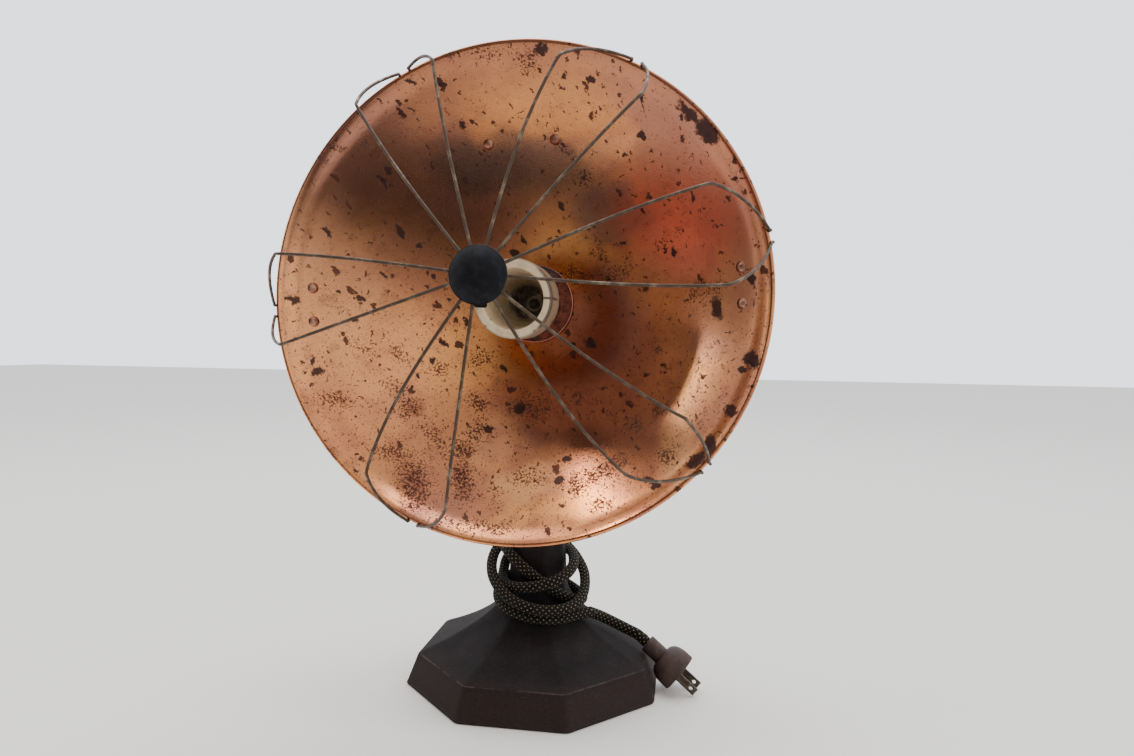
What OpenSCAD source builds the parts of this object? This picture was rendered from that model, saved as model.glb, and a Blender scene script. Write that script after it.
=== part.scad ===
// Table heater with a copper bowl reflector on a cast iron base.
// Millimetres, +Z up, the bowl looks along -Y, origin at the centre of the base's underside.
// Pieces of the head are drawn in the head's own frame: X to the right as seen from the front,
// Y up the bowl, Z forward along the bowl's axis, zero where that axis crosses the column's.

/* [Base and column] */
// Corner radius of the eight-sided base at the bottom
base_r = 106; // [90:1:125]
// Corner radius at the top of the skirt
skirt_r = 96.5; // [84:0.5:100]
// Height of the skirt
skirt_h = 24; // [16:1:34]
// Height at which the hollow flare becomes the column
flare_h = 80; // [70:1:92]
// Corner radius of the column where it leaves the flare
column_r = 24.4; // [21:0.2:28]
// Corner radius at the column's top
column_top_r = 21; // [19:0.2:24]
// Radius that rounds the base's eight corners
corner_r = 7; // [3:0.5:12]
// Wall of the casting
cast_wall = 5; // [3:0.5:7]
// Height of the hollow inside the column
hollow_h = 128; // [100:1:135]
// Thickness of the board let into the underside
cover_t = 3; // [2:0.5:5]

/* [Head] */
// Height at which the bowl's axis crosses the column's axis
head_h = 299.5; // [285:0.5:320]
// How far the bowl looks up, degrees
head_tilt = 2.5; // [0:0.5:6]
// How far the bowl was turned when its brackets were riveted on, degrees
bowl_turn = 2.9; // [0:0.1:4]

/* [Bowl] */
// Outer radius of the bowl at its rolled rim
rim_r = 171.5; // [160:0.5:180]
// Depth of the dish, from the rim's plane to its middle
bowl_depth = 81; // [74:1:88]
// Distance of the rim's plane ahead of the column's axis
rim_ahead = 107.5; // [104:0.5:114]
// Thickness of the copper sheet
sheet = 0.8; // [0.6:0.1:1.2]
// Radius of the rolled bead round the rim
bead_r = 1.9; // [1.6:0.1:2.5]
// Radius of the steel wire inside the bead
rim_wire_r = 1.05; // [0.8:0.05:1.3]
// Radius of the hole in the middle of the bowl
bowl_hole_r = 20.8; // [20.2:0.1:22]

/* [Pivots and yoke] */
// Distance of the tilt axis ahead of the column's axis
pivot_ahead = 68; // [64:1:72]
// Width of the yoke's strap
yoke_w = 16; // [12:1:20]
// Thickness of the yoke's strap
yoke_t = 4; // [3:0.5:5]
// Radius of the eye at each end of the yoke
eye_r = 10; // [9:0.5:12]
// Radius of the thumb screw's thread
thumb_r = 2.5; // [2:0.1:3]
// Running clearance of the thumb screw in its holes
pivot_play = 0.06; // [0.02:0.01:0.1]
// Length of the thumb screw's shank beyond its collar
thumb_l = 14; // [12:0.5:15]
// Radius of the thumb screw's collar
thumb_collar_r = 6; // [5:0.5:8]
// Reach of each wing of the thumb screw
wing_l = 13; // [10:0.5:14]
// Thickness of a wing
wing_t = 2.4; // [1.8:0.1:3]
// Thickness of the pivot washer
washer_t = 1; // [0.6:0.1:1.6]
// Radius of the pivot washer
washer_r = 7; // [6:0.5:9]
// Width across flats of the nut behind each bracket ear
nut_af = 10; // [8:0.5:12]
// Thickness of that nut
nut_t = 4; // [3:0.5:5]
// Radius of the yoke bolt
yoke_bolt_r = 4; // [3:0.1:5]
// Length of the yoke bolt below its head
yoke_bolt_l = 26; // [20:1:30]
// Radius of the yoke bolt's head
yoke_bolt_head_r = 7; // [6:0.5:9]
// Height of the yoke bolt's head
yoke_bolt_head_h = 4.5; // [3:0.5:6]
// Thickness of the lock washer under that head
lock_washer_t = 1.6; // [1:0.1:2.4]

/* [Brackets] */
// Distance of the bracket rivets inside the bowl's rim
bracket_rivet_in = 20.3; // [18.5:0.1:24]
// Distance of the bracket's ear inside its rivets
ear_set_in = 2.7; // [2:0.1:4]
// Distance between the two rivets of a bracket
bracket_rivet_gap = 24.2; // [20:0.2:28]
// Thickness of the bracket's foot and ear
bracket_t = 2.4; // [2:0.1:3]
// Length of the bracket's foot along the rim
bracket_l = 38; // [34:1:46]
// Width of the bracket's foot
bracket_w = 14; // [12:0.5:16]
// Radius of a rivet's domed head
rivet_head_r = 3.9; // [3:0.1:5]
// Height of a rivet's domed head
rivet_head_h = 2.1; // [1.4:0.1:3]
// Radius of a rivet's shank
rivet_r = 2.2; // [1.6:0.1:2.6]

/* [Handle] */
// Distance of the handle's rivets from the bowl's axis
handle_rivet_r = 114.3; // [108:0.2:120]
// Distance between the handle's two rivets
handle_rivet_gap = 49.2; // [44:0.2:54]
// Width of the handle's strap
handle_w = 14; // [10:0.5:18]
// Thickness of the handle's strap
handle_t = 1.8; // [1.4:0.1:2.6]
// Clear length between the handle's two ears
handle_l = 84; // [70:1:96]
// Reach of the handle's rod from the bowl's back
handle_reach = 34; // [30:1:40]
// Radius of the wooden grip at its middle
grip_r = 9; // [7:0.5:11]
// Radius of the handle's rod
handle_rod_r = 2.4; // [2:0.1:3]

/* [Socket] */
// How far the socket leans down from the bowl's axis, degrees
socket_sag = 3; // [0:0.5:4]
// Outer radius of the porcelain cup
cup_r = 27.1; // [25:0.1:29]
// Radius of the cup's mouth
cup_mouth_r = 20.8; // [19:0.1:22]
// Distance of the cup's face ahead of the column's axis
cup_ahead = 108.5; // [104:0.5:112]
// Length of the cup behind its face
cup_l = 33; // [28:1:40]
// Radius of the porcelain neck
neck_r = 17.6; // [17:0.1:18.2]
// Inner radius of the brass screw shell at its thread's crests
shell_r = 12.35; // [12.2:0.05:12.5]
// Wall of the screw shell
shell_wall = 1.3; // [1.1:0.1:1.6]
// Depth of the shell's thread grooves
thread_depth = 0.8; // [0.6:0.05:0.9]
// Pitch of the thread
thread_pitch = 3.6; // [3.2:0.1:4]
// Number of thread grooves
threads = 6; // [4:1:6]
// Distance of the shell's front end ahead of the column's axis
shell_ahead = 60; // [58:0.5:62]
// Radius of the copper collar round the neck
collar_r = 29.8; // [28:0.1:32]
// Height of the collar's rolled edge
collar_h = 2.6; // [2:0.1:4]
// Radius of the bead on that edge
collar_bead_r = 0.8; // [0.6:0.05:0.9]
// Distance of the two collar screws from the bowl's axis
collar_screw_y = 24.4; // [24.2:0.1:24.6]
// Radius of a collar screw
collar_screw_r = 1.9; // [1.6:0.1:2.2]
// Radius of a collar screw's head
collar_screw_head_r = 3.6; // [3:0.1:4]

/* [Rear cover] */
// Radius of the cover over the terminals
cover_r = 33; // [32:0.5:36]
// Depth of the cover's straight wall
cover_l = 25; // [22:0.5:28]
// Wall of the cover
cover_wall = 1.2; // [1:0.1:2]
// Slope of the cover's back, degrees
cover_slope = 20; // [16:1:24]
// Radius of the flat in the middle of the cover's back
cover_flat_r = 10; // [8:0.5:12]
// Outer radius of the cord bushing's flange
bushing_r = 8.5; // [7.5:0.5:10]
// Length of the bushing outside the cover
bushing_l = 25; // [20:1:30]

/* [Guard] */
// Radius of the black cap in the middle of the guard
hub_r = 17; // [15:0.5:20]
// Height of the cap's dome
hub_h = 8.5; // [6:0.5:10]
// Distance of the cap's rim ahead of the column's axis
hub_ahead = 197; // [190:1:204]
// Radius of the guard wire
wire_r = 1; // [0.8:0.05:1.2]
// Distance of the wires' bends inside the bowl's rim
bend_in = 32; // [26:0.5:40]
// Distance of the wires' bends ahead of the column's axis
bend_ahead = 166; // [158:1:172]
// Half the angle between a petal's two hooks
hook_half = 1.3; // [1.1:0.1:3]
// Share of its bow that each wire of the guard keeps
wire_bow = 1; // [0:0.1:1]

/* [Cord and plug] */
// Diameter of the cloth-covered cord
cord_d = 8.4; // [7.6:0.1:8.8]
// Radius of the plug's wide end
plug_r = 15.6; // [14:0.2:16]
// Length of the plug's body
plug_l = 34; // [30:0.5:38]
// Radius of the plug's neck
plug_neck_r = 7; // [6.5:0.1:8]
// Length of the plug's neck
plug_neck_l = 15; // [10:0.5:18]
// Distance between the two blades
blade_gap = 12.7; // [12.5:0.1:12.9]
// Width of a blade
blade_w = 6.35; // [6.2:0.05:6.5]
// Thickness of a blade
blade_t = 1.5; // [1.4:0.1:1.6]
// Length of a blade beyond the plug's face
blade_l = 17; // [16:0.5:18]

/* [Hidden] */

// Clearances: seat between still pieces, and gap between pieces that move past each other
seat = 0.3;
gap = 0.3;
round_fn = 96;
small_fn = 32;
// The bowl's dish is a parabola
dish_k = bowl_depth / (rim_r * rim_r);
bowl_mid = rim_ahead - bowl_depth;
// Each petal of the guard: directions of its two bends and of its hooks, anticlockwise from +X
// as seen from the front, and how far each of its two wires bows sideways
petals = [
    [106.5, 129, 118, 1.5, 2.2],
    [51.5, 74, 62.5, 1.7, 4.7],
    [-0.5, 24, 12.5, -2.4, 2.4],
    [-53.5, -34, -41, -5.2, -3.2],
    [-123, -100.5, -113, -5.5, -0.5],
    [173, 196.5, 184.5, -1.5, 0]
];
bead_axis_r = rim_r - bead_r;
dish_edge_r = rim_r - 2 * bead_r;
cord_r = cord_d / 2;
// The brackets and the wires' bends follow the rim, and the yoke passes just outside the ears
bracket_rivet_r = rim_r - bracket_rivet_in;
bend_r = rim_r - bend_in;
ear_in = bracket_rivet_r - ear_set_in - bracket_t / 2;
ear_out = ear_in + bracket_t;
yoke_r = ear_out + gap + yoke_t / 2;
// The yoke leans back so that its middle stands on the column's axis
pivot_y = -pivot_ahead * cos(head_tilt);
pivot_z = head_h + pivot_ahead * sin(head_tilt);
yoke_lean = asin(-pivot_y / yoke_r);

function unit(v) = v / norm(v);
function mix(a, b, s) = a + (b - a) * s;
function ease(s) = s <= 0 ? 0 : s >= 1 ? 1 : s * s * (3 - 2 * s);
function dish(r) = bowl_mid + dish_k * r * r;
function dish_slope(r) = atan(2 * dish_k * r);
// Corner radius of the casting at height z, and of its hollow
function flare(z) = column_r + (skirt_r - column_r) * pow(1 - (z - skirt_h) / (flare_h - skirt_h), 2);
function cast_r(z) =
    z <= skirt_h ? mix(base_r, skirt_r, z / skirt_h)
    : z <= flare_h ? flare(z)
    : mix(column_r, column_top_r, min((z - flare_h) / (pivot_z - yoke_r - flare_h), 1));

// A round tube swept along points; its section keeps from twisting between rings
function tangent(p, i) =
    unit(p[min(i + 1, len(p) - 1)] - p[max(i - 1, 0)]);
function square_to(t, hint) = unit(hint - (hint * t) * t);
function carried(p) =
    [for (i = 0, n = square_to(tangent(p, 0), [0.13, 0.21, 0.97]);
          i < len(p);
          i = i + 1, n = i < len(p) ? square_to(tangent(p, i), n) : n) n];
function tube_rings(p, r, sides) =
    let (n = carried(p))
    [for (i = [0 : len(p) - 1], k = [0 : sides - 1])
        let (t = tangent(p, i), b = cross(t, n[i]), a = 360 * k / sides)
        p[i] + r * (cos(a) * n[i] + sin(a) * b)];
function skin_faces(rings, sides) = concat(
    [for (k = [1 : sides - 2]) [0, k, k + 1]],
    [for (i = [0 : rings - 2], k = [0 : sides - 1])
        let (a = i * sides + k, b = i * sides + (k + 1) % sides) [a, a + sides, b]],
    [for (i = [0 : rings - 2], k = [0 : sides - 1])
        let (a = i * sides + k, b = i * sides + (k + 1) % sides) [b, a + sides, b + sides]],
    [for (k = [1 : sides - 2])
        let (e = (rings - 1) * sides) [e, e + k + 1, e + k]]);
module tube(p, r, sides) {
    polyhedron(points = tube_rings(p, r, sides), faces = skin_faces(len(p), sides), convexity = 8);
}
// A smooth curve through points, steps points a stretch; its first and last stretches stay straight
function through(p, steps) = concat(
    [p[0]],
    [for (i = [1 : len(p) - 3], s = [0 : steps - 1])
        let (u = s / steps, a = p[i], b = p[i + 1], ta = (b - p[i - 1]) / 2, tb = (p[i + 2] - a) / 2)
        a * (2 * u * u * u - 3 * u * u + 1) + ta * (u * u * u - 2 * u * u + u)
            + b * (3 * u * u - 2 * u * u * u) + tb * (u * u * u - u * u)],
    [p[len(p) - 2], p[len(p) - 1]]);
function run_length(p) = len(p) < 2 ? 0 : run_sum(p, 1, 0);
function run_sum(p, i, s) = i >= len(p) ? s : run_sum(p, i + 1, s + norm(p[i] - p[i - 1]));

// The frames in which the head and its pieces are drawn
module in_head() {
    translate([0, 0, head_h]) rotate([90 - head_tilt, 0, 0]) children();
}
function head_point(p) =
    [p[0],
     p[1] * sin(head_tilt) - p[2] * cos(head_tilt),
     head_h + p[1] * cos(head_tilt) + p[2] * sin(head_tilt)];
// On the dish at radius r and angle a, local +Z standing off its bright side
module on_dish(r, a) {
    rotate([0, 0, a + bowl_turn]) translate([r, 0, dish(r)]) rotate([0, -dish_slope(r), 0]) children();
}
module in_socket() {
    translate([0, 0, collar_front]) rotate([socket_sag, 0, 0]) translate([0, 0, -collar_front]) children();
}
// Along the yoke: local Z from the pivots' middle to the column, X across
module in_yoke() {
    translate([0, pivot_y, pivot_z]) rotate([-180 + yoke_lean, 0, 0]) children();
}
collar_front = dish(collar_r);

// Base and column

function corner_ring(R, z) =
    let (c = min(corner_r, R * 0.3), m = (R * cos(22.5) - c) / cos(22.5))
    [for (k = [0 : 7], j = [-2 : 2])
        let (a = 22.5 + 45 * k)
        [m * cos(a) + c * cos(a + 11.25 * j), m * sin(a) + c * sin(a + 11.25 * j), z]];
module corner_stack(levels) {
    points = [for (l = levels) each corner_ring(l[1], l[0])];
    polyhedron(points = points, faces = skin_faces(len(levels), 40), convexity = 6);
}
flare_steps = 12;
cover_edge_r = base_r - cast_wall - 3;
casting_top = pivot_z - yoke_r + 14;
casting_levels = concat(
    [[0, base_r - 1.2], [1.2, base_r - 0.3]],
    [[skirt_h - 1.2, cast_r(skirt_h - 1.2)], [skirt_h, skirt_r - 0.9]],
    [for (i = [1 : flare_steps]) let (z = mix(skirt_h, flare_h, i / flare_steps)) [z, cast_r(z)]],
    [[casting_top, cast_r(casting_top)]]);
hollow_levels = concat(
    [[-1, cover_edge_r], [cover_t, cover_edge_r], [cover_t, cover_edge_r - 3]],
    [[skirt_h - cast_wall, skirt_r - cast_wall - 5]],
    [for (i = [1 : flare_steps]) let (z = mix(skirt_h - cast_wall, flare_h - cast_wall, i / flare_steps))
        [z, max(cast_r(z + cast_wall) - cast_wall, 8)]],
    [[hollow_h, max(cast_r(hollow_h) - cast_wall - 1, 8)]]);
// The column's top is cut square to the yoke's bolt
seat_reach = yoke_r + yoke_t / 2;
module base_casting() color([0.13, 0.12, 0.14]) {
    difference() {
        corner_stack(casting_levels);
        corner_stack(hollow_levels);
        in_yoke() translate([-60, -60, seat_reach - 60]) cube([120, 120, 60]);
        in_yoke() translate([0, 0, seat_reach - 1])
            cylinder(r = yoke_bolt_r + pivot_play, h = yoke_bolt_l + 3, $fn = small_fn);
    }
}
module base_cover() color([0.28, 0.22, 0.16]) {
    r = cover_edge_r - seat;
    linear_extrude(cover_t - seat)
        polygon([for (p = corner_ring(r, 0)) [p[0], p[1]]]);
}

// Yoke

module yoke() color([0.16, 0.15, 0.16]) in_yoke() {
    difference() {
        union() {
            rotate([90, 0, 0]) rotate_extrude(angle = 180, $fn = 144)
                translate([yoke_r - yoke_t / 2, -yoke_w / 2]) square([yoke_t, yoke_w]);
            for (s = [-1, 1])
                translate([s * yoke_r, 0, 0]) rotate([0, 90, 0])
                    cylinder(r = eye_r, h = yoke_t, center = true, $fn = 64);
        }
        rotate([0, 90, 0])
            cylinder(r = thumb_r + pivot_play, h = 2 * yoke_r + 20, center = true, $fn = small_fn);
        translate([0, 0, yoke_r - 10])
            cylinder(r = yoke_bolt_r + pivot_play, h = 20, $fn = small_fn);
    }
}
module yoke_washer() color([0.45, 0.44, 0.42]) in_yoke() {
    translate([0, 0, yoke_r - yoke_t / 2 - lock_washer_t - 0.45]) difference() {
        cylinder(r = yoke_bolt_head_r, h = lock_washer_t, $fn = 48);
        translate([0, 0, -1]) cylinder(r = yoke_bolt_r + pivot_play, h = lock_washer_t + 2, $fn = small_fn);
    }
}
module yoke_bolt() color([0.4, 0.39, 0.37]) in_yoke() {
    head = yoke_r - yoke_t / 2 - lock_washer_t - 0.55;
    translate([0, 0, head - yoke_bolt_head_h])
        cylinder(r = yoke_bolt_head_r / cos(30), h = yoke_bolt_head_h, $fn = 6);
    translate([0, 0, head - 0.01]) cylinder(r = yoke_bolt_r, h = yoke_bolt_l, $fn = small_fn);
}
module pivot_washers() color([0.5, 0.48, 0.45]) for (s = [-1, 1])
    translate([s * (yoke_r + yoke_t / 2 + 0.1), pivot_y, pivot_z]) rotate([0, s * 90, 0])
        difference() {
            cylinder(r = washer_r, h = washer_t, $fn = 48);
            translate([0, 0, -1]) cylinder(r = thumb_r + pivot_play, h = washer_t + 2, $fn = small_fn);
        }
thumb_seat = yoke_r + yoke_t / 2 + washer_t + 0.1 + gap;
module thumb_screw(s) color([0.62, 0.5, 0.26])
    translate([s * thumb_seat, pivot_y, pivot_z]) rotate([0, s * 90, 0]) {
        translate([0, 0, -thumb_l]) cylinder(r = thumb_r, h = thumb_l + 1, $fn = small_fn);
        cylinder(r = thumb_collar_r, h = 1.6, $fn = 48);
        translate([0, 0, 1.5]) cylinder(r1 = thumb_collar_r - 1, r2 = thumb_r + 1, h = 5, $fn = 48);
        rotate([90, 0, 0]) linear_extrude(wing_t, center = true)
            polygon([[-3, 2], [3, 2], [wing_l - 2, 7], [wing_l, 9], [wing_l - 2, 10.4],
                     [wing_l - 6, 9.6], [3, 6], [-3, 6], [6 - wing_l, 9.6], [2 - wing_l, 10.4],
                     [-wing_l, 9], [2 - wing_l, 7]]);
    }
module thumb_screw_left() thumb_screw(-1);
module thumb_screw_right() thumb_screw(1);

// Bowl

dish_steps = 22;
module bowl() color([0.72, 0.42, 0.28]) in_head() {
    inner = [for (i = [0 : dish_steps])
        let (r = mix(bowl_hole_r, dish_edge_r, i / dish_steps)) [r, dish(r)]];
    outer = [for (i = [dish_steps : -1 : 0])
        let (r = mix(bowl_hole_r, dish_edge_r, i / dish_steps), a = dish_slope(r))
        [i == 0 ? r : r + sheet * sin(a), dish(r) - sheet * cos(a)]];
    difference() {
        union() {
            rotate_extrude($fn = round_fn) polygon(concat(inner, outer));
            bead_ring(bead_r);
        }
        bead_ring(rim_wire_r + 0.05);
        for (s = [-1, 1], t = [-1, 1])
            bracket_rivet_place(s, t) cylinder(r = rivet_r + 0.1, h = 8, center = true, $fn = small_fn);
        for (t = [-1, 1])
            handle_rivet_place(t) cylinder(r = rivet_r + 0.1, h = 8, center = true, $fn = small_fn);
        for (s = [-1, 1])
            translate([0, s * collar_screw_y, bowl_mid - 4])
                cylinder(r = collar_screw_r + 0.15, h = 12, $fn = small_fn);
    }
}
bead_axis_z = dish(dish_edge_r) + 0.6;
module bead_ring(r) {
    rotate_extrude($fn = round_fn) translate([bead_axis_r, bead_axis_z]) circle(r, $fn = 24);
}
module rim_wire() color([0.45, 0.43, 0.4]) in_head() bead_ring(rim_wire_r);

// Rivets and brackets

module bracket_rivet_place(side, end) {
    on_dish(norm([bracket_rivet_r, bracket_rivet_gap / 2]),
            (side > 0 ? 0 : 180) + end * atan(bracket_rivet_gap / 2 / bracket_rivet_r)) children();
}
module handle_rivet_place(end) {
    on_dish(norm([handle_rivet_r, handle_rivet_gap / 2]),
            90 + end * atan(handle_rivet_gap / 2 / handle_rivet_r)) children();
}
// How far a rivet reaches behind the bright side to clear a flat strap that the dish curves away
// from; half is the rivet's distance from the strap's middle
function rivet_reach(r, half, strap) =
    dish_k * half * half * cos(dish_slope(r)) + foot_drop + strap
    + (rivet_head_r - 0.4) * sin(atan(2 * dish_k * half)) + 0.1;
// Domed on the bright side
module rivet(reach) {
    translate([0, 0, seat / 2]) intersection() {
        translate([0, 0, rivet_head_h - dome_r(rivet_head_r, rivet_head_h)])
            sphere(dome_r(rivet_head_r, rivet_head_h), $fn = 48);
        cylinder(r = rivet_head_r + 1, h = rivet_head_h + 1, $fn = 48);
    }
    translate([0, 0, -reach - 0.5]) cylinder(r = rivet_r, h = reach + 1, $fn = small_fn);
    translate([0, 0, -reach - 1.5]) cylinder(r = rivet_head_r - 0.4, h = 1.5, $fn = 48);
}
function dome_r(r, h) = (r * r + h * h) / (2 * h);
module bracket_rivets() color([0.66, 0.38, 0.26]) in_head()
    for (s = [-1, 1], t = [-1, 1]) bracket_rivet_place(s, t)
        rivet(rivet_reach(bracket_rivet_r, bracket_rivet_gap / 2, bracket_t));
module handle_rivets() color([0.66, 0.38, 0.26]) in_head()
    for (t = [-1, 1]) handle_rivet_place(t)
        rivet(rivet_reach(handle_rivet_r, handle_rivet_gap / 2, handle_t));

foot_drop = sheet + 2 * seat;
// The ear reaches up to the middle of the foot's thickness
ear_top = dish(bracket_rivet_r) - ear_set_in * tan(dish_slope(bracket_rivet_r))
    - (foot_drop + bracket_t / 2) / cos(dish_slope(bracket_rivet_r));
module pivot_bracket(s) color([0.2, 0.19, 0.19]) in_head() difference() {
    union() {
        on_dish(bracket_rivet_r, s > 0 ? 0 : 180)
            translate([-bracket_w / 2, -bracket_l / 2, -foot_drop - bracket_t])
                cube([bracket_w, bracket_l, bracket_t]);
        translate([s > 0 ? ear_in : -ear_out, 0, pivot_ahead]) rotate([0, 90, 0])
            cylinder(r = eye_r - 1, h = bracket_t, $fn = 64);
        translate([s > 0 ? ear_in : -ear_out, 1 - eye_r, pivot_ahead])
            cube([bracket_t, 2 * eye_r - 2, ear_top - pivot_ahead]);
    }
    translate([s * ear_in, 0, pivot_ahead]) rotate([0, 90, 0])
        cylinder(r = thumb_r + pivot_play, h = 20, center = true, $fn = small_fn);
    for (t = [-1, 1])
        bracket_rivet_place(s, t) cylinder(r = rivet_r + 0.25, h = 20, center = true, $fn = small_fn);
}
module pivot_bracket_left() pivot_bracket(-1);
module pivot_bracket_right() pivot_bracket(1);
module pivot_nuts() color([0.5, 0.47, 0.42]) in_head() for (s = [-1, 1])
    translate([s * (ear_in - 0.1 - nut_t / 2), 0, pivot_ahead]) rotate([0, 90, 0]) difference() {
        cylinder(r = nut_af / 2 / cos(30), h = nut_t, center = true, $fn = 6);
        cylinder(r = thumb_r + pivot_play, h = nut_t + 2, center = true, $fn = small_fn);
    }

// Handle

module at_handle() on_dish(handle_rivet_r, 90) children();
handle_floor = -foot_drop - handle_t;
rod_z = -foot_drop - handle_reach;
module handle_strap() color([0.2, 0.19, 0.19]) in_head() difference() {
    at_handle() {
        translate([-handle_w / 2, -handle_l / 2, handle_floor]) cube([handle_w, handle_l, handle_t]);
        for (s = [-1, 1]) translate([0, s * (handle_l + handle_t) / 2, 0]) {
            translate([-handle_w / 2, -handle_t / 2, rod_z]) cube([handle_w, handle_t, -foot_drop - rod_z]);
            translate([0, 0, rod_z]) rotate([90, 0, 0])
                cylinder(r = handle_w / 2, h = handle_t, center = true, $fn = 48);
        }
    }
    at_handle() translate([0, 0, rod_z]) rotate([90, 0, 0])
        cylinder(r = handle_rod_r + 0.1, h = handle_l + 20, center = true, $fn = small_fn);
    for (t = [-1, 1])
        handle_rivet_place(t) cylinder(r = rivet_r + 0.25, h = 20, center = true, $fn = small_fn);
}
rod_half = handle_l / 2 + handle_t + 0.2;
module handle_rod() color([0.5, 0.48, 0.45]) in_head() at_handle() translate([0, 0, rod_z])
    rotate([90, 0, 0]) {
        cylinder(r = handle_rod_r, h = 2 * rod_half + 0.2, center = true, $fn = small_fn);
        for (s = [-1, 1]) translate([0, 0, s * (rod_half + 1.2)])
            cylinder(r = handle_rod_r + 2, h = 2.4, center = true, $fn = small_fn);
    }
module handle_grip() color([0.09, 0.07, 0.06]) in_head() at_handle() translate([0, 0, rod_z])
    rotate([90, 0, 0]) difference() {
        h = handle_l / 2 - seat;
        rotate_extrude($fn = 64) polygon(concat(
            [[0, -h], [grip_r - 3.4, -h]],
            [for (i = [0 : 12]) let (u = i / 6 - 1) [grip_r - 2.4 * u * u, (h - 1) * u]],
            [[grip_r - 3.4, h], [0, h]]));
        cylinder(r = handle_rod_r + 0.15, h = 2 * h + 2, center = true, $fn = small_fn);
    }

// Socket

collar_floor = dish(bowl_hole_r) + 0.9;
sleeve_r = bowl_hole_r - 0.4;
sleeve_l = 7;
// The collar's inner lip stands this far from the axis to take the leaning neck
lip_r = neck_r + seat + (collar_front - collar_floor + sleeve_l) * sin(socket_sag);
module socket_collar() color([0.62, 0.34, 0.24]) in_head() difference() {
    union() {
        rotate_extrude($fn = round_fn) polygon([
            [lip_r, collar_floor - sleeve_l], [sleeve_r, collar_floor - sleeve_l],
            [sleeve_r, collar_floor],
            [collar_r - 1.4, collar_front + 0.5], [collar_r - 0.6, collar_front + collar_h - 1],
            [collar_r - 1.2, collar_front + collar_h - 1], [collar_r - 1.8, collar_front + 1.4],
            [collar_r - 2.6, collar_front + 1.3],
            [sleeve_r - 0.8, collar_floor + 1], [sleeve_r - 0.8, collar_floor - sleeve_l + 1],
            [lip_r, collar_floor - sleeve_l + 1]]);
        rotate_extrude($fn = round_fn)
            translate([collar_r - collar_bead_r, collar_front + collar_h - collar_bead_r])
                circle(collar_bead_r, $fn = 20);
    }
    for (s = [-1, 1]) translate([0, s * collar_screw_y, collar_floor - 10])
        cylinder(r = collar_screw_r + 0.15, h = 20, $fn = small_fn);
}
lug_back = bowl_mid - 12;
module collar_screws() color([0.12, 0.11, 0.11]) in_head() for (s = [-1, 1])
    translate([0, s * collar_screw_y, 0]) {
        head_back = collar_front + 1.9;
        translate([0, 0, lug_back - 1])
            cylinder(r = collar_screw_r, h = head_back - lug_back + 1.5, $fn = small_fn);
        translate([0, 0, head_back]) difference() {
            intersection() {
                translate([0, 0, 2.2 - dome_r(collar_screw_head_r, 2.2)])
                    sphere(dome_r(collar_screw_head_r, 2.2), $fn = 48);
                cylinder(r = collar_screw_head_r + 1, h = 4, $fn = 48);
            }
            translate([-5, -0.5, 1.2]) cube([10, 1, 3]);
        }
    }

cup_back = cup_ahead - cup_l;
// Behind its threads the shell narrows to a well for the centre contact
well_l = 4.2;
shell_back = shell_ahead - threads * thread_pitch - well_l - 2.8;
neck_back = bowl_mid - 7;
module socket_body() color([0.85, 0.81, 0.7]) in_head() in_socket() difference() {
    rotate_extrude($fn = round_fn) polygon(concat(
        [[0, neck_back], [neck_r, neck_back], [neck_r, cup_back - 3]],
        [for (i = [0 : 6]) let (a = 15 * i)
            [mix(neck_r, cup_r, 1 - cos(a)), cup_back - 3 + 6 * sin(a)]],
        [[cup_r, cup_ahead - 1.6], [cup_r - 0.5, cup_ahead - 0.5], [cup_r - 1.6, cup_ahead]],
        [[cup_mouth_r + 1.6, cup_ahead], [cup_mouth_r + 0.4, cup_ahead - 0.5],
         [cup_mouth_r, cup_ahead - 1.8]],
        [for (i = [1 : 8]) let (u = i / 8)
            [mix(cup_mouth_r, throat_r + 0.2, pow(u, 1.4)), mix(cup_ahead - 1.8, shell_ahead + 1, u)]],
        [[throat_r, shell_ahead], [throat_r, shell_back], [0, shell_back]]));
    translate([0, 0, neck_back - 1]) cylinder(r = 1.6, h = shell_back - neck_back + 2, $fn = small_fn);
    for (s = [-1, 1]) translate([s * 10, 0, neck_back - 1]) cylinder(r = 1.6, h = 8, $fn = small_fn);
}
throat_r = shell_r + shell_wall + 0.2;
module screw_shell() color([0.6, 0.47, 0.24]) in_head() in_socket() difference() {
    translate([0, 0, shell_back + 0.1])
        cylinder(r = shell_r + shell_wall, h = shell_ahead - shell_back - 0.1, $fn = round_fn);
    translate([0, 0, shell_back + well_l]) cylinder(r = shell_r, h = shell_ahead, $fn = round_fn);
    translate([0, 0, shell_back + 1.2]) cylinder(r = 8, h = well_l, $fn = 48);
    translate([0, 0, shell_back - 1]) cylinder(r = 6, h = 5, $fn = 48);
    for (i = [0 : threads - 1]) translate([0, 0, shell_ahead - (i + 0.9) * thread_pitch])
        rotate_extrude($fn = round_fn) polygon([
            [shell_r - 0.4, -1.3], [shell_r, -1.2], [shell_r + thread_depth * 0.75, -0.8],
            [shell_r + thread_depth, 0], [shell_r + thread_depth * 0.75, 0.8], [shell_r, 1.2],
            [shell_r - 0.4, 1.3]]);
}
module centre_contact() color([0.62, 0.48, 0.25]) in_head() in_socket() {
    translate([0, 0, neck_back - 2]) cylinder(r = 1.5, h = shell_back - neck_back + 4, $fn = small_fn);
    translate([0, 0, shell_back + 0.15]) cylinder(r = 4.4, h = 1.2, $fn = 48);
    translate([0, 0, shell_back + 1]) cylinder(r1 = 3.4, r2 = 1.8, h = 2.4, $fn = 48);
}
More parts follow.
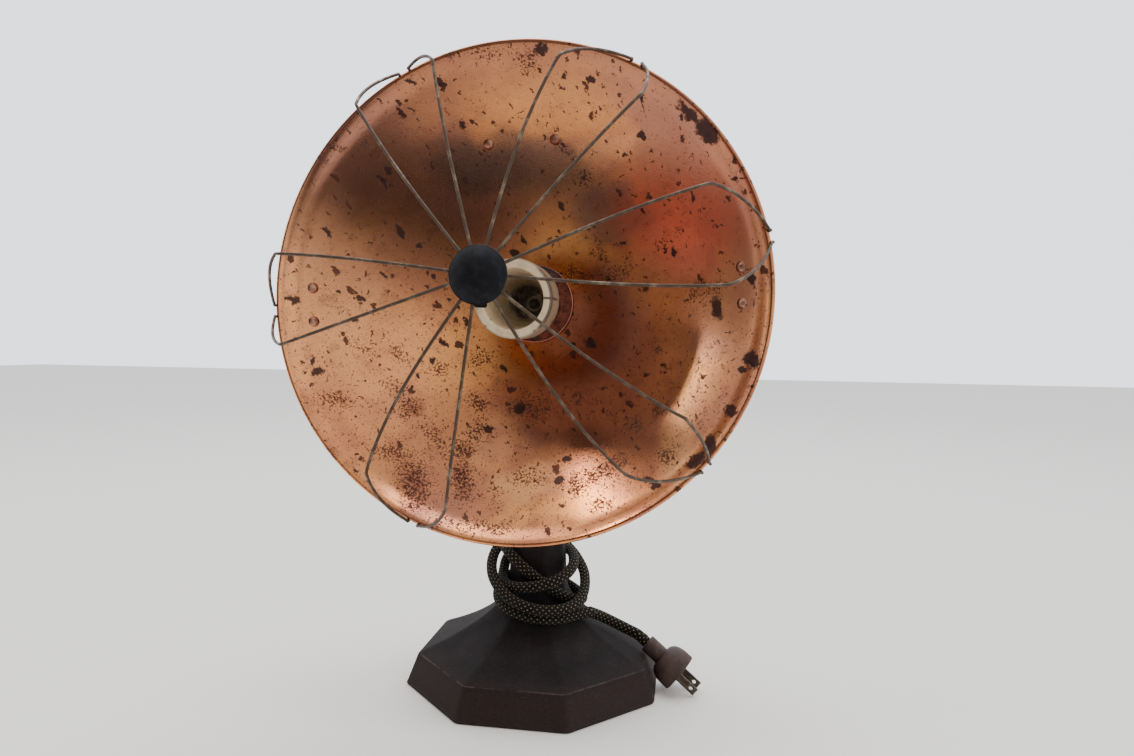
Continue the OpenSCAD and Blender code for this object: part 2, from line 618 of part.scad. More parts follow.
module terminal_screws() color([0.6, 0.47, 0.25]) in_head() in_socket() for (s = [-1, 1])
    translate([s * 10, 0, neck_back - 0.15]) {
        translate([0, 0, -2.4]) difference() {
            cylinder(r = 3.4, h = 2.4, $fn = 48);
            translate([-5, -0.4, -1]) cube([10, 0.8, 1.8]);
        }
        translate([0, 0, -0.5]) cylinder(r = 1.5, h = 6, $fn = small_fn);
    }

// Rear cover, with the cord's bushing square to a line from the tilt axis

cover_front = dish(cover_r) - sheet - 0.5;
cover_bend = cover_front - cover_l;
cover_back = cover_bend - (cover_r - cover_flat_r) * tan(cover_slope);
// The cord leaves the cover where a line from the tilt axis stands square to the cover's back
bushing_reach = cover_r * sin(cover_slope) + (pivot_ahead - cover_bend) * cos(cover_slope);
bushing_t = pivot_ahead - bushing_reach * cos(cover_slope);
bushing_y = -bushing_reach * sin(cover_slope);
module at_bushing() translate([0, bushing_y, bushing_t]) rotate([180 - cover_slope, 0, 0]) children();
module rear_cover() color([0.14, 0.13, 0.14]) in_head() difference() {
    union() {
        rotate_extrude($fn = round_fn) polygon([
            [0, cover_back], [cover_flat_r, cover_back], [cover_r, cover_bend], [cover_r, cover_front],
            [cover_r - cover_wall, cover_front - 0.5], [cover_r - cover_wall, cover_bend + 0.6],
            [cover_flat_r, cover_back + cover_wall + 0.1], [0, cover_back + cover_wall + 0.1]]);
        for (s = [-1, 1]) translate([-4, s > 0 ? 21.6 : -cover_r + 0.6, lug_back])
            cube([8, cover_r - 22.2, 8]);
    }
    for (s = [-1, 1]) translate([0, s * collar_screw_y, lug_back - 2])
        cylinder(r = collar_screw_r + 0.05, h = 12, $fn = small_fn);
    at_bushing() cylinder(r = bushing_neck_r + 0.1, h = 12, center = true, $fn = 48);
}
bushing_neck_r = 6.2;
module cord_bushing() color([0.1, 0.09, 0.09]) in_head() at_bushing() difference() {
    union() {
        translate([0, 0, -3]) cylinder(r = bushing_neck_r, h = 5, $fn = 48);
        translate([0, 0, seat]) cylinder(r = bushing_r, h = 2.4, $fn = 48);
        translate([0, 0, 2.5])
            cylinder(r1 = bushing_neck_r + 1, r2 = cord_r + 0.9, h = bushing_l - 2.5, $fn = 48);
        translate([0, 0, -cover_wall - 2.6]) cylinder(r = bushing_neck_r + 1, h = 1.8, $fn = 48);
    }
    translate([0, 0, -6]) cylinder(r = 3.2, h = bushing_l + 1, $fn = 48);
}
// Two insulated leads from the bushing to the terminals
module socket_leads() color([0.24, 0.2, 0.16]) in_head() for (s = [-1, 1])
    tube(through([
        [s * 1.4, bushing_y + 1, bushing_t + 2.8], [s * 1.4, bushing_y + 1.9, bushing_t + 5.2],
        [s * 3, bushing_y + 4, bushing_t + 9],
        [s * 9, -14, 8], [s * 12, -6, 10],
        [s * 10, -1, neck_back - 4.4], [s * 10, 1.5, neck_back - 4.4]], 4),
        1.2, 8);

// Guard

module guard_hub() color([0.05, 0.05, 0.06]) in_head() translate([0, 0, hub_ahead]) {
    R = dome_r(hub_r, hub_h);
    half = asin(hub_r / R);
    rotate_extrude($fn = round_fn) polygon(concat(
        [for (i = [0 : 10]) let (a = half * i / 10) [R * sin(a), hub_h - R + R * cos(a)]],
        [[hub_r, -0.6], [hub_r - 0.9, -0.6]],
        [for (i = [10 : -1 : 0]) let (a = half * i / 10 * 0.96)
            [(R - 1) * sin(a), hub_h - R + (R - 1) * cos(a)]]));
    translate([0, 0, 2]) cylinder(r = 2.2, h = hub_h - 2.5, $fn = small_fn);
}
// The wires run straight from their bends, close under the cap's rim, to their ends
hub_root_r = 9;
guard_slope = (hub_ahead - 0.8 - wire_r - bend_ahead) / (bend_r - hub_r);
wire_level = bend_ahead + guard_slope * (bend_r - hub_root_r);
plate_front = wire_level - 1.03 * wire_r - 0.2;
module guard_plate() color([0.06, 0.06, 0.07]) in_head() difference() {
    union() {
        edge = guard_slope * (hub_r - 1 - hub_root_r);
        rotate_extrude($fn = round_fn) polygon([
            [0, plate_front - 1.2], [hub_root_r, plate_front - 1.2], [hub_r - 1, plate_front - edge - 1.2],
            [hub_r - 1, plate_front - edge], [hub_root_r, plate_front], [0, plate_front]]);
        translate([0, -hub_root_r, plate_front]) rotate([atan(guard_slope), 0, 0])
            translate([-6, -hub_r - 2.6 + hub_root_r, -1.3]) cube([12, 6, 1.2]);
    }
    translate([0, 0, plate_front - 5]) cylinder(r = 2.1, h = 10, $fn = small_fn);
}
module guard_stud() color([0.3, 0.29, 0.28]) in_head() {
    translate([0, 0, plate_front - 4])
        cylinder(r = 2, h = hub_ahead + 1.9 - plate_front + 4, $fn = small_fn);
    translate([0, 0, plate_front - 4.2]) cylinder(r = 4, h = 2.8, $fn = 6);
}

function around(r, a, z) = [r * cos(a), r * sin(a), z];
hook_turn_r = bead_r + wire_r + 0.3;
// One wire of a petal, from its hook's tip behind the rim to the hub
function wire_side(bend_a, hook_a, bow) =
    let (bend = around(bend_r, bend_a, bend_ahead),
         root = around(hub_root_r, bend_a, wire_level),
         aside = around(bow * wire_bow, bend_a + 90, 0),
         tip = [for (a = [-105 : 30 : 45])
             around(bead_axis_r + hook_turn_r * cos(a), hook_a, bead_axis_z + hook_turn_r * sin(a))],
         rise_z = mix(rim_ahead, bend_ahead, 0.61),
         rise = around(mix(bend_r, bead_axis_r, 0.67), mix(hook_a, bend_a, 0.7), rise_z))
    concat(tip,
        [for (i = [1 : 7]) let (u = i / 8, a = tip[len(tip) - 1])
            a * (1 - u) * (1 - u) + 2 * rise * u * (1 - u) + bend * u * u],
        [mix(bend, rise, 0.04)],
        [for (u = [0.02, 0.2, 0.4, 0.6, 0.8, 0.97]) mix(bend, root, u) + aside * sin(180 * pow(u, 0.8))],
        [root]);
module guard_wire(k, side) color([0.4, 0.37, 0.34]) in_head() {
    q = petals[k];
    tube(wire_side(q[side], q[2] + (2 * side - 1) * hook_half, q[3 + side]), wire_r, 6);
}
module guard_wire_1() guard_wire(0, 0);
module guard_wire_2() guard_wire(0, 1);
module guard_wire_3() guard_wire(1, 0);
module guard_wire_4() guard_wire(1, 1);
module guard_wire_5() guard_wire(2, 0);
module guard_wire_6() guard_wire(2, 1);
module guard_wire_7() guard_wire(3, 0);
module guard_wire_8() guard_wire(3, 1);
module guard_wire_9() guard_wire(4, 0);
module guard_wire_10() guard_wire(4, 1);
module guard_wire_11() guard_wire(5, 0);
module guard_wire_12() guard_wire(5, 1);

// Cord: a loose winding round the column, with a free stretch to the plug and one to the bushing.
// Each loop has a mean height, a tilt, the side on which it is low, how slack it is all round,
// how much slacker it is on one side and which, and how far it swings out behind the column.

winding_rows = [
    [65, 7, -50, 0, 0, 0, 0],
    [84, 21.5, 15, 0, 0, 0, 0],
    [89, 10, -135, 0.5, 8.8, -72, 11],
    [86, 19.5, -60, 9.7, 4, -90, 0]
];
winding_side = 5;
winding_from = 0.12;
winding_to = 3.58;
loop_rings = 24;
function row(i) = winding_rows[min(i, len(winding_rows) - 1)];
// How much further out a round cord lies than the side it touches, at height z
function stand_off(z) = cord_r * norm([1, flare_slope(z)]);
function flare_slope(z) =
    z > flare_h ? 0 : 2 * (skirt_r - column_r) * (flare_h - z) / pow(flare_h - skirt_h, 2);
function row_point(q, a) =
    let (z = q[0] - q[1] * cos(a - q[2]))
    around(cast_r(z) + stand_off(z) + q[3] + q[4] * pow(max(cos(a - q[5]), 0), 2), a, z);
// Loops pass from one row to the next behind the column
function winding_point(v) =
    let (i = floor(v), s = ease((v - i - 0.5) / 0.42), a = winding_side - 360 * v)
    mix(row_point(row(i), a), row_point(row(i + 1), a), s) + around(4 * s * (1 - s) * row(i)[6], a, 0);
winding = [for (i = [round(winding_from * loop_rings) : round(winding_to * loop_rings)])
    winding_point(i / loop_rings)];
function ends_straight(p, d) =
    concat([p[0] - unit(p[1] - p[0]) * d], p, [p[len(p) - 1] + unit(p[len(p) - 1] - p[len(p) - 2]) * d]);
winding_run = ends_straight(winding, cord_d);
winding_foot = winding_run[0];
winding_head = winding_run[len(winding_run) - 1];
module cord_winding() color([0.16, 0.13, 0.09]) tube(winding_run, cord_r, 6);
// The least distance between stretches that lie more than three diameters apart along the cord
loop_gap = min([for (i = [0 : len(winding_run) - 1], j = [i + 12 : 1 : len(winding_run) - 1])
    norm(winding_run[i] - winding_run[j])]) - cord_d;

plug_face = [116.5, -13, 13.5];
plug_axis = unit([0.78, -0.17, -0.6]);
plug_start = plug_face - plug_l * plug_axis;
foot_way = unit(winding_run[0] - winding_run[1]);
lead_points = concat(
    [winding_foot, winding_foot + foot_way * cord_d],
    [[46, -11, 56.5], [53, -5, 52], [61, -2, 47.5], [69, -2, 44], [76, -3.5, 41.5]],
    [plug_start - cord_d * plug_axis, plug_start]);
module cord_lead() color([0.16, 0.13, 0.09]) tube(through(lead_points, 4), cord_r, 10);

exit_way = unit(head_point([0, bushing_y, bushing_t]) - [0, pivot_y, pivot_z]);
bushing_end = [0, pivot_y, pivot_z] + exit_way * (bushing_reach + bushing_l);
head_way = unit(winding_head - winding_run[len(winding_run) - 2]);
drop_points = concat(
    [winding_head, winding_head + head_way * cord_d],
    [[-17, 37, 107], [-9, 43, 118], [-4, 46, 134], [-1, 49, 158]],
    [[0, 52, 186], [0, 54, 212], [0, 51, 237]],
    [bushing_end + exit_way * (cord_d + gap), bushing_end + exit_way * gap]);
module cord_drop() color([0.16, 0.13, 0.09]) tube(through(drop_points, 4), cord_r, 10);
echo(loop_gap = loop_gap, cord_length = run_length(through(lead_points, 4)) + run_length(winding_run)
    + run_length(through(drop_points, 4)));

// Plug

module at_plug() {
    a = plug_axis;
    translate(plug_face) rotate([0, acos(a[2]), atan2(a[1], a[0])]) rotate([0, 0, 90]) children();
}
module plug_body() color([0.3, 0.2, 0.17]) at_plug() difference() {
    rotate_extrude($fn = 64) polygon(concat(
        [[0, -plug_l], [plug_neck_r - 0.8, -plug_l], [plug_neck_r, -plug_l + 0.8]],
        [[plug_neck_r, -plug_l + plug_neck_l]],
        [for (i = [1 : 10]) let (u = i / 10)
            [mix(plug_neck_r, plug_r, sin(90 * u)), mix(plug_neck_l - plug_l, -6, u * u)]],
        [[plug_r, -1], [plug_r - 1, 0]],
        [[plug_disc_r + 0.2, 0], [plug_disc_r + 0.2, -1.6], [plug_disc_r - 1.5, -1.6],
         [plug_disc_r - 2.5, -16], [0, -16]]));
    translate([0, 0, -plug_l - 1]) cylinder(r = 3, h = 30, $fn = small_fn);
}
plug_disc_r = 12.5;
module blade_places() for (s = [-1, 1]) translate([s * blade_gap / 2, 0, 0]) children();
module plug_disc() color([0.16, 0.14, 0.12]) at_plug() difference() {
    translate([0, 0, -1.5]) cylinder(r = plug_disc_r, h = 1.3, $fn = 64);
    blade_places() cube([blade_t + 0.2, blade_w + 0.2, 8], center = true);
}
module plug_blades() color([0.5, 0.46, 0.38]) at_plug() blade_places() difference() {
    translate([-blade_t / 2, -blade_w / 2, -12]) cube([blade_t, blade_w, 12 + blade_l]);
    translate([0, 0, blade_l - 4.5]) rotate([0, 90, 0])
        cylinder(r = 1.6, h = 6, center = true, $fn = small_fn);
}

base_casting();
base_cover();
yoke();
yoke_bolt();
yoke_washer();
pivot_washers();
thumb_screw_left();
thumb_screw_right();
bowl();
rim_wire();
pivot_bracket_left();
pivot_bracket_right();
bracket_rivets();
pivot_nuts();
handle_strap();
handle_rivets();
handle_rod();
handle_grip();
socket_collar();
collar_screws();
socket_body();
screw_shell();
centre_contact();
terminal_screws();
socket_leads();
rear_cover();
cord_bushing();
guard_hub();
guard_plate();
guard_stud();
guard_wire_1();
guard_wire_2();
guard_wire_3();
guard_wire_4();
guard_wire_5();
guard_wire_6();
guard_wire_7();
guard_wire_8();
guard_wire_9();
guard_wire_10();
guard_wire_11();
guard_wire_12();
cord_drop();
cord_winding();
cord_lead();
plug_body();
plug_disc();
plug_blades();
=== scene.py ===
import math
import bpy
import numpy as np
from mathutils import Matrix, Vector


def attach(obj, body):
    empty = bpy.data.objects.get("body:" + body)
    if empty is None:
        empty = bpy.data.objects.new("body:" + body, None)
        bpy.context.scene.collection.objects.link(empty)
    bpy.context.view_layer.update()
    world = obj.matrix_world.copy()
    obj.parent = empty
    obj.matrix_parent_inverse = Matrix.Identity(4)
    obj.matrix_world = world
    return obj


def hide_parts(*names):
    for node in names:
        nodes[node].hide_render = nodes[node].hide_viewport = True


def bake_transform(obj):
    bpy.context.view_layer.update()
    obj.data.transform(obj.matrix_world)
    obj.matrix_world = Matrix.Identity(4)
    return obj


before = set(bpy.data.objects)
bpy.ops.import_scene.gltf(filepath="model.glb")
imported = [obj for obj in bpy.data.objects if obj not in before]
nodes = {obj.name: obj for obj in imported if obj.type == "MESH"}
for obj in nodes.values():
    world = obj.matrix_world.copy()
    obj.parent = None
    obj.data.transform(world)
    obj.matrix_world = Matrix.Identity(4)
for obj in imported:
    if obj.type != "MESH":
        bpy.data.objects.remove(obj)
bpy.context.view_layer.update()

# Sizes repeated from the part's source, in millimetres and degrees

MM = 0.001
BASE_R, SKIRT_R, SKIRT_H, FLARE_H = 106, 96.5, 24, 80
COLUMN_R, COLUMN_TOP_R, CORNER_R, CAST_WALL, COVER_T = 24.4, 21, 7, 5, 3
HEAD_H, HEAD_TILT = 299.5, 2.5
RIM_R, BOWL_DEPTH, RIM_AHEAD, SHEET, BEAD_R, BOWL_HOLE_R = 171.5, 81, 107.5, 0.8, 1.9, 20.8
PIVOT_AHEAD, YOKE_R, YOKE_T = 68, 152, 4
SOCKET_SAG, CUP_R, CUP_MOUTH_R, CUP_AHEAD, CUP_L, COLLAR_R = 3, 27.1, 20.8, 108.5, 33, 29.8
COVER_R, COVER_L, COVER_SLOPE, BUSHING_L = 33, 25, 20, 25
HUB_R, HUB_H, HUB_AHEAD, HUB_ROOT_R = 17, 8.5, 197, 9
WIRE_R, BEND_R, BEND_AHEAD, HOOK_HALF = 1, 139.5, 166, 1.3
CORD_D, PLUG_R, PLUG_L, PLUG_NECK_R, PLUG_NECK_L = 8.4, 15.6, 34, 7, 15
GAP = 0.3

DISH_K = BOWL_DEPTH / RIM_R**2
DISH_EDGE_R, BEAD_AXIS_R = RIM_R - 2 * BEAD_R, RIM_R - BEAD_R
BOWL_MID = RIM_AHEAD - BOWL_DEPTH
CORD_R = CORD_D / 2

# Sums; angles are in degrees


def sin(a):
    return math.sin(math.radians(a))


def cos(a):
    return math.cos(math.radians(a))


def unit(v):
    return np.asarray(v, float) / np.linalg.norm(v)


def mix(a, b, s):
    return a + (b - a) * s


def ease(s):
    """0 below 0, 1 above 1, smooth between."""
    s = min(max(s, 0), 1)
    return s * s * (3 - 2 * s)


def dish(r):
    """How far forward the bowl's inside lies at radius r."""
    return BOWL_MID + DISH_K * r * r


def dish_slope(r):
    return math.degrees(math.atan(2 * DISH_K * r))


# Places: 4x4 matrices from a piece's own frame to the part's, all in millimetres

def move(x, y, z):
    return np.array(Matrix.Translation((x, y, z)))


def turn(angle, axis):
    return np.array(Matrix.Rotation(math.radians(angle), 4, axis))


PIVOT = np.array([0, -PIVOT_AHEAD * cos(HEAD_TILT), HEAD_H + PIVOT_AHEAD * sin(HEAD_TILT)])
YOKE_LEAN = math.degrees(math.asin(-PIVOT[1] / YOKE_R))
COLLAR_FRONT = dish(COLLAR_R)
WORLD = np.eye(4)
HEAD = move(0, 0, HEAD_H) @ turn(90 - HEAD_TILT, "X")
YOKE = move(*PIVOT) @ turn(-180 + YOKE_LEAN, "X")


def placed(place, points):
    points = np.asarray(points, float).reshape(-1, 3)
    return points @ place[:3, :3].T + place[:3, 3]


# Making pieces

def piece(name, points, faces, place, body, material, replaces=(), crease=38, run=None):
    """A mesh piece from points in its own frame, riding on its body; run places each corner on a tube."""
    mesh = bpy.data.meshes.new(name)
    mesh.from_pydata((placed(place, points) * MM).tolist(), [], faces)
    mesh.validate()
    if run is not None:
        layer = mesh.uv_layers.new(name="Run")
        layer.data.foreach_set("uv", np.asarray(run, np.float32).ravel())
    mesh.shade_smooth()
    mesh.set_sharp_from_angle(angle=math.radians(crease))
    made = bpy.data.objects.new(name, mesh)
    bpy.context.scene.collection.objects.link(made)
    mesh.materials.append(material)
    if body:
        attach(made, body)
    if replaces:
        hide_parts(*replaces)
    return made


def lathe(profile, segments=96, wobble=None):
    """Points and faces of a closed profile of (radius, height) turned about Z, with single points on it."""
    points, rows, faces = [], [], []
    for r, z in profile:
        if r < 1e-6:
            rows.append([len(points)] * segments)
            points.append((0, 0, z))
            continue
        rows.append(list(range(len(points), len(points) + segments)))
        for k in range(segments):
            a = 360 * k / segments
            dr, dz = wobble(r, z, a) if wobble else (0, 0)
            points.append(((r + dr) * cos(a), (r + dr) * sin(a), z + dz))
    for low, high in zip(rows, rows[1:] + rows[:1]):
        for k in range(segments):
            j = (k + 1) % segments
            corners = [low[k], low[j], high[j], high[k]]
            corners = [c for i, c in enumerate(corners) if c not in corners[:i]]
            if len(corners) > 2:
                faces.append(corners)
    return points, faces


def smooth_run(points, steps):
    """A smooth curve through points, steps points a stretch; its first and last stretches stay straight."""
    points = [np.asarray(p, float) for p in points]
    out = [points[0]]
    for before, a, b, after in zip(points, points[1:], points[2:], points[3:]):
        for s in range(steps):
            u = s / steps
            out.append(a * (2 * u**3 - 3 * u**2 + 1) + (b - before) / 2 * (u**3 - 2 * u**2 + u)
                       + b * (3 * u**2 - 2 * u**3) + (after - a) / 2 * (u**3 - u**2))
    return np.array(out + points[-2:])


def run_length(path):
    return float(np.linalg.norm(np.diff(path, axis=0), axis=1).sum())


def skin(rings, sides):
    """Faces over rings of points that follow each other, closed at both ends."""
    last = (rings - 1) * sides
    faces = []
    for low in range(0, last, sides):
        for k in range(sides):
            j = (k + 1) % sides
            faces.append([low + k, low + j, low + sides + j, low + sides + k])
    return faces + [list(range(sides))[::-1], [last + k for k in range(sides)]]


def tube(path, radius, sides, from_length=0.0, rounded_ends=False):
    """Points, faces and (turn, length) of a round tube along a path; the section doesn't twist."""
    path = np.asarray(path, float)
    tangents = np.gradient(path, axis=0)
    tangents /= np.linalg.norm(tangents, axis=1)[:, None]
    along = from_length + np.concatenate([[0], np.cumsum(np.linalg.norm(np.diff(path, axis=0), axis=1))])
    radii = np.full(len(path), float(radius))
    if rounded_ends:
        cap = [(1 - cos(t), sin(t)) for t in (15, 40, 65)]
        first = [path[0] - tangents[0] * radius * (1 - c) for c, _ in cap]
        end = [path[-1] + tangents[-1] * radius * (1 - c) for c, _ in cap[::-1]]
        path = np.vstack([first, path, end])
        tangents = np.vstack([[tangents[0]] * 3, tangents, [tangents[-1]] * 3])
        along = np.concatenate([[along[0]] * 3, along, [along[-1]] * 3])
        ends = [radius * s for _, s in cap]
        radii = np.concatenate([ends, radii, ends[::-1]])
    side = unit(np.cross(tangents[0], [0.13, 0.21, 0.97]))
    points = []
    for i, (p, t) in enumerate(zip(path, tangents)):
        side = unit(side - np.dot(side, t) * t)
        up = np.cross(t, side)
        for k in range(sides):
            a = 360 * k / sides
            points.append(p + radii[i] * (cos(a) * side + sin(a) * up))
    run = []
    for near, far in zip(along, along[1:]):
        for k in range(sides):
            u, v = k / sides, (k + 1) / sides
            run += [(u, near), (v, near), (v, far), (u, far)]
    run += [(0.5, along[0])] * sides + [(0.5, along[-1])] * sides
    return points, skin(len(path), sides), run


# Materials: a socket that Python arithmetic works on

class Socket:
    """One output of a material's nodes; arithmetic on it adds Math nodes."""

    def __init__(self, tree, out):
        self.tree, self.out = tree, out

    def node(self, kind, settings, values, out=0):
        """A node of any other kind: its settings first, then its sockets' values or links."""
        made = self.tree.nodes.new(kind)
        for key, value in settings.items():
            if key == "stops":
                for place, colour in value[1:-1]:
                    made.color_ramp.elements.new(place).color = colour
                for end in (0, -1):
                    made.color_ramp.elements[end].position = value[end][0]
                    made.color_ramp.elements[end].color = value[end][1]
            else:
                setattr(made, key, value)
        for key, value in values.items():
            if isinstance(value, Socket):
                self.tree.links.new(value.out, made.inputs[key])
            else:
                made.inputs[key].default_value = value
        return Socket(self.tree, made.outputs[out])

    def maths(self, operation, *others):
        return self.node("ShaderNodeMath", {"operation": operation}, dict(enumerate((self, *others))))

    def __add__(self, other):
        return self.maths("ADD", other)

    def __sub__(self, other):
        return self.maths("SUBTRACT", other)

    def __mul__(self, other):
        return self.maths("MULTIPLY", other)

    def __truediv__(self, other):
        return self.maths("DIVIDE", other)

    def __pow__(self, other):
        return self.maths("POWER", other)

    def __rsub__(self, other):
        return self.maths("MULTIPLY_ADD", -1.0, other)

    __radd__, __rmul__ = __add__, __mul__


def colour(r, g, b):
    return (r, g, b, 1.0)


def grain(at, size, detail=3.0, roughness=0.55):
    """Noise of about 0 to 1 whose largest lumps are about size millimetres."""
    return at.node("ShaderNodeTexNoise", {}, {
        "Vector": at, "Scale": 1 / size, "Detail": detail, "Roughness": roughness})


def rise(value, low, high):
    """0 below low, 1 above high, smooth between."""
    return value.node("ShaderNodeMapRange", {"interpolation_type": "SMOOTHSTEP"}, {
        "Value": value, "From Min": low, "From Max": high})


def tint(share, a, b):
    """Colour a, with share of colour b in its place."""
    return share.node("ShaderNodeMix", {"data_type": "RGBA"}, {0: share, 6: a, 7: b}, out=2)


def bump(height, depth, strength=1.0):
    """A Normal from a height of 0 to 1; depth in millimetres."""
    return height.node("ShaderNodeBump", {}, {
        "Height": height, "Strength": strength, "Distance": depth * MM})


def stretched(at, x, y, z):
    return at.node("ShaderNodeVectorMath", {"operation": "MULTIPLY"}, {0: at, 1: (x, y, z)})


def split(at):
    parts = at.node("ShaderNodeSeparateXYZ", {}, {0: at})
    tree, made = parts.tree, parts.out.node
    return [Socket(tree, made.outputs[i]) for i in range(3)]


def finish(name, **constants):
    """A material, its shader and a coordinate in millimetres in the part's frame at rest."""
    made = bpy.data.materials.new(name)
    made.use_nodes = True
    tree = made.node_tree
    shader = tree.nodes["Principled BSDF"]
    for key, value in constants.items():
        shader.inputs[key.replace("_", " ").title().replace("Ior", "IOR")].default_value = value
    coordinate = tree.nodes.new("ShaderNodeTexCoord")
    at = Socket(tree, coordinate.outputs["Object"])
    at = at.node("ShaderNodeVectorMath", {"operation": "SCALE"}, {0: at, "Scale": 1 / MM})
    return made, shader, at


def wire_up(shader, links):
    """Join each named socket of the shader to its value."""
    for key, value in links.items():
        value.tree.links.new(value.out, shader.inputs[key])


def in_head(at):
    """The head's own X, up and forward coordinates."""
    x, y, z = split(at)
    z = z - HEAD_H
    return x, y * sin(HEAD_TILT) + z * cos(HEAD_TILT), z * sin(HEAD_TILT) - y * cos(HEAD_TILT)


def wandering(place, at, size, amount):
    """The vector place, moved about unevenly in the bowl's plane by up to about a quarter of amount."""
    drift = at.node("ShaderNodeTexNoise", {}, {"Vector": at, "Scale": 1 / size, "Detail": 3.0}, "Color")
    drift = at.node("ShaderNodeVectorMath", {"operation": "SUBTRACT"}, {0: drift, 1: (0.5, 0.5, 0.5)})
    return at.node("ShaderNodeVectorMath", {"operation": "MULTIPLY_ADD"}, {
        0: drift, 1: (amount, amount, 0), 2: place})


TURN_STEP = 15


def reach(place, patches):
    """How far out a point lies in the nearest patch: 0 at its middle, 1 at its edge.

    Patches are turned in whole steps, so that those of one step share their nodes.
    """
    axes, nearest = {}, None
    for x, y, half_long, half_wide, angle in patches:
        angle = TURN_STEP * round(angle / TURN_STEP)
        if angle not in axes:
            axes[angle] = [place.node("ShaderNodeVectorMath", {"operation": "DOT_PRODUCT"}, {
                0: place, 1: (cos(a), sin(a), 0)}, "Value") for a in (angle, angle + 90)]
        along, across = axes[angle]
        middle_long = x * cos(angle) + y * sin(angle)
        middle_wide = y * cos(angle) - x * sin(angle)
        out_long = along.maths("MULTIPLY_ADD", 1 / half_long, -middle_long / half_long)
        out_wide = across.maths("MULTIPLY_ADD", 1 / half_wide, -middle_wide / half_wide)
        square = out_wide.maths("MULTIPLY_ADD", out_wide, out_long * out_long)
        nearest = square if nearest is None else nearest.maths("MINIMUM", square)
    return nearest ** 0.5


def flecks(place, size, largest, angle=-60, length=1.7):
    """Small spots of uneven size, one or none to a cell, drawn out along one direction."""
    local = place.node("ShaderNodeMapping", {"vector_type": "TEXTURE"}, {
        "Vector": place, "Rotation": (0, 0, math.radians(angle)), "Scale": (size * length, size, size)})
    cell = place.node("ShaderNodeTexVoronoi", {}, {"Vector": local, "Scale": 1.0})
    chance, _, _ = split(Socket(place.tree, cell.out.node.outputs["Color"]))
    return rise(chance * chance * (largest / size) - cell, 0.0, 0.035)


# Stains on the bowl, listed one by one. Each patch has its middle, in the head's X and up, half its length,
# half its width, and its turn.
DARK_SPOTS = [
    (114, 119, 12, 3.2, -47), (126, 106, 13, 5.2, -52), (144, 87, 4, 2.4, -75), (145, 76, 2.8, 2.2, 0),
    (48, 147, 4, 2.6, -45), (29, 151, 2.4, 2, 0), (83, 131, 5.5, 1.6, -70), (83, 112, 4, 1.9, -62),
    (109, 118, 3, 1.8, -60), (70, 102, 2.2, 1.6, -50), (105, 34, 4.8, 2, -72), (99, 36, 3, 1.4, -75),
    (68, 44, 3, 2, 0), (83, 64, 4, 1.4, -40), (118, 70, 5, 1.3, -80), (136, -7, 10, 5.2, -80),
    (157, 11, 6.5, 2, -80), (158, -42, 7.5, 6, -70), (153, -48, 3.5, 2.6, 0), (145, -75, 5.5, 4.6, 60),
    (132, -98, 9.5, 4.8, 80), (124, -109, 9.5, 4.8, 28), (45, -30, 6.2, 4.8, -60), (31, -31, 3, 2.4, 0),
    (29, -7, 2.4, 1.8, -60), (29, -129, 3.8, 3.4, 0), (33, -115, 4, 3, 10), (33, -144, 4.2, 2.2, 0),
    (41, -157, 2.2, 1.8, 0), (36, -94, 2, 1.5, 0), (96, -125, 8, 3.6, -8), (100, -46, 3, 2, 0),
    (87, -54, 2.6, 2, 40), (-87, 128, 4.6, 2.6, -60), (-87, 134, 2.4, 2, 0), (-77, 146, 3.2, 2.4, -20),
    (-58, 148, 2.8, 2.2, 0), (-102, 92, 3.2, 2.6, 0), (-106, 84, 7, 2, -58), (-98, 51, 8, 3.8, -68),
    (-86, 41, 3.4, 2.4, -30), (-143, 45, 5.4, 1.8, -60), (-47, 124, 3.2, 2.6, 0), (-40, 126, 2, 1.6, 0),
    (-20, 121, 2, 1.6, 0), (-9, 49, 5.2, 1.8, -62), (-16, 39, 5.5, 3.6, -20), (-110, 18, 3.2, 2.8, -45),
    (-121, 18, 3.2, 1, -70), (-77, 18, 3, 1.9, -75), (-138, 3, 2.2, 1.8, 0), (-124, -1, 4.4, 2.6, -20),
    (-162, -5, 5, 3.6, -60), (-128, -16, 2.2, 2, 0), (-59, -4, 2.2, 1.8, -60), (-53, -14, 4.4, 2, -75),
    (-68, -32, 5.4, 2.2, -52), (-75, -46, 2.6, 2.2, 0), (-84, -57, 2.6, 2, -20), (-145, -56, 4.6, 3.6, -30),
    (-149, -48, 6, 1.4, -68), (-29, -97, 4.4, 3.8, 0), (-22, -51, 4.6, 2.6, -60), (-113, -114, 1.6, 1.4, 0),
    (-110, -125, 1.8, 1.5, 0), (-7, -80, 5, 4.4, 30), (157, -60, 2.4, 1.6, 0), (14, 165, 6, 3.6, 0)]
FAINT_SPOTS = [
    (-113, 107, 5, 4.4, 0), (-131, 102, 7, 2.6, -8), (-141, 94, 6, 4.4, -40), (-50, 164, 6.5, 3.2, -60),
    (40, 91, 7.5, 4, -50), (24, 111, 11, 5, -30), (-128, -113, 7, 4.4, -50), (-8, -79, 10, 7.5, 10),
    (82, -89, 7, 6, 0), (37, -71, 5, 4, 0), (41, -131, 9, 4.4, -80), (61, -120, 7, 4.6, 20),
    (96, -35, 4, 3, 0), (72, -113, 9, 6, 40), (104, -108, 5, 4, 0), (-72, 164, 9, 4, 20)]
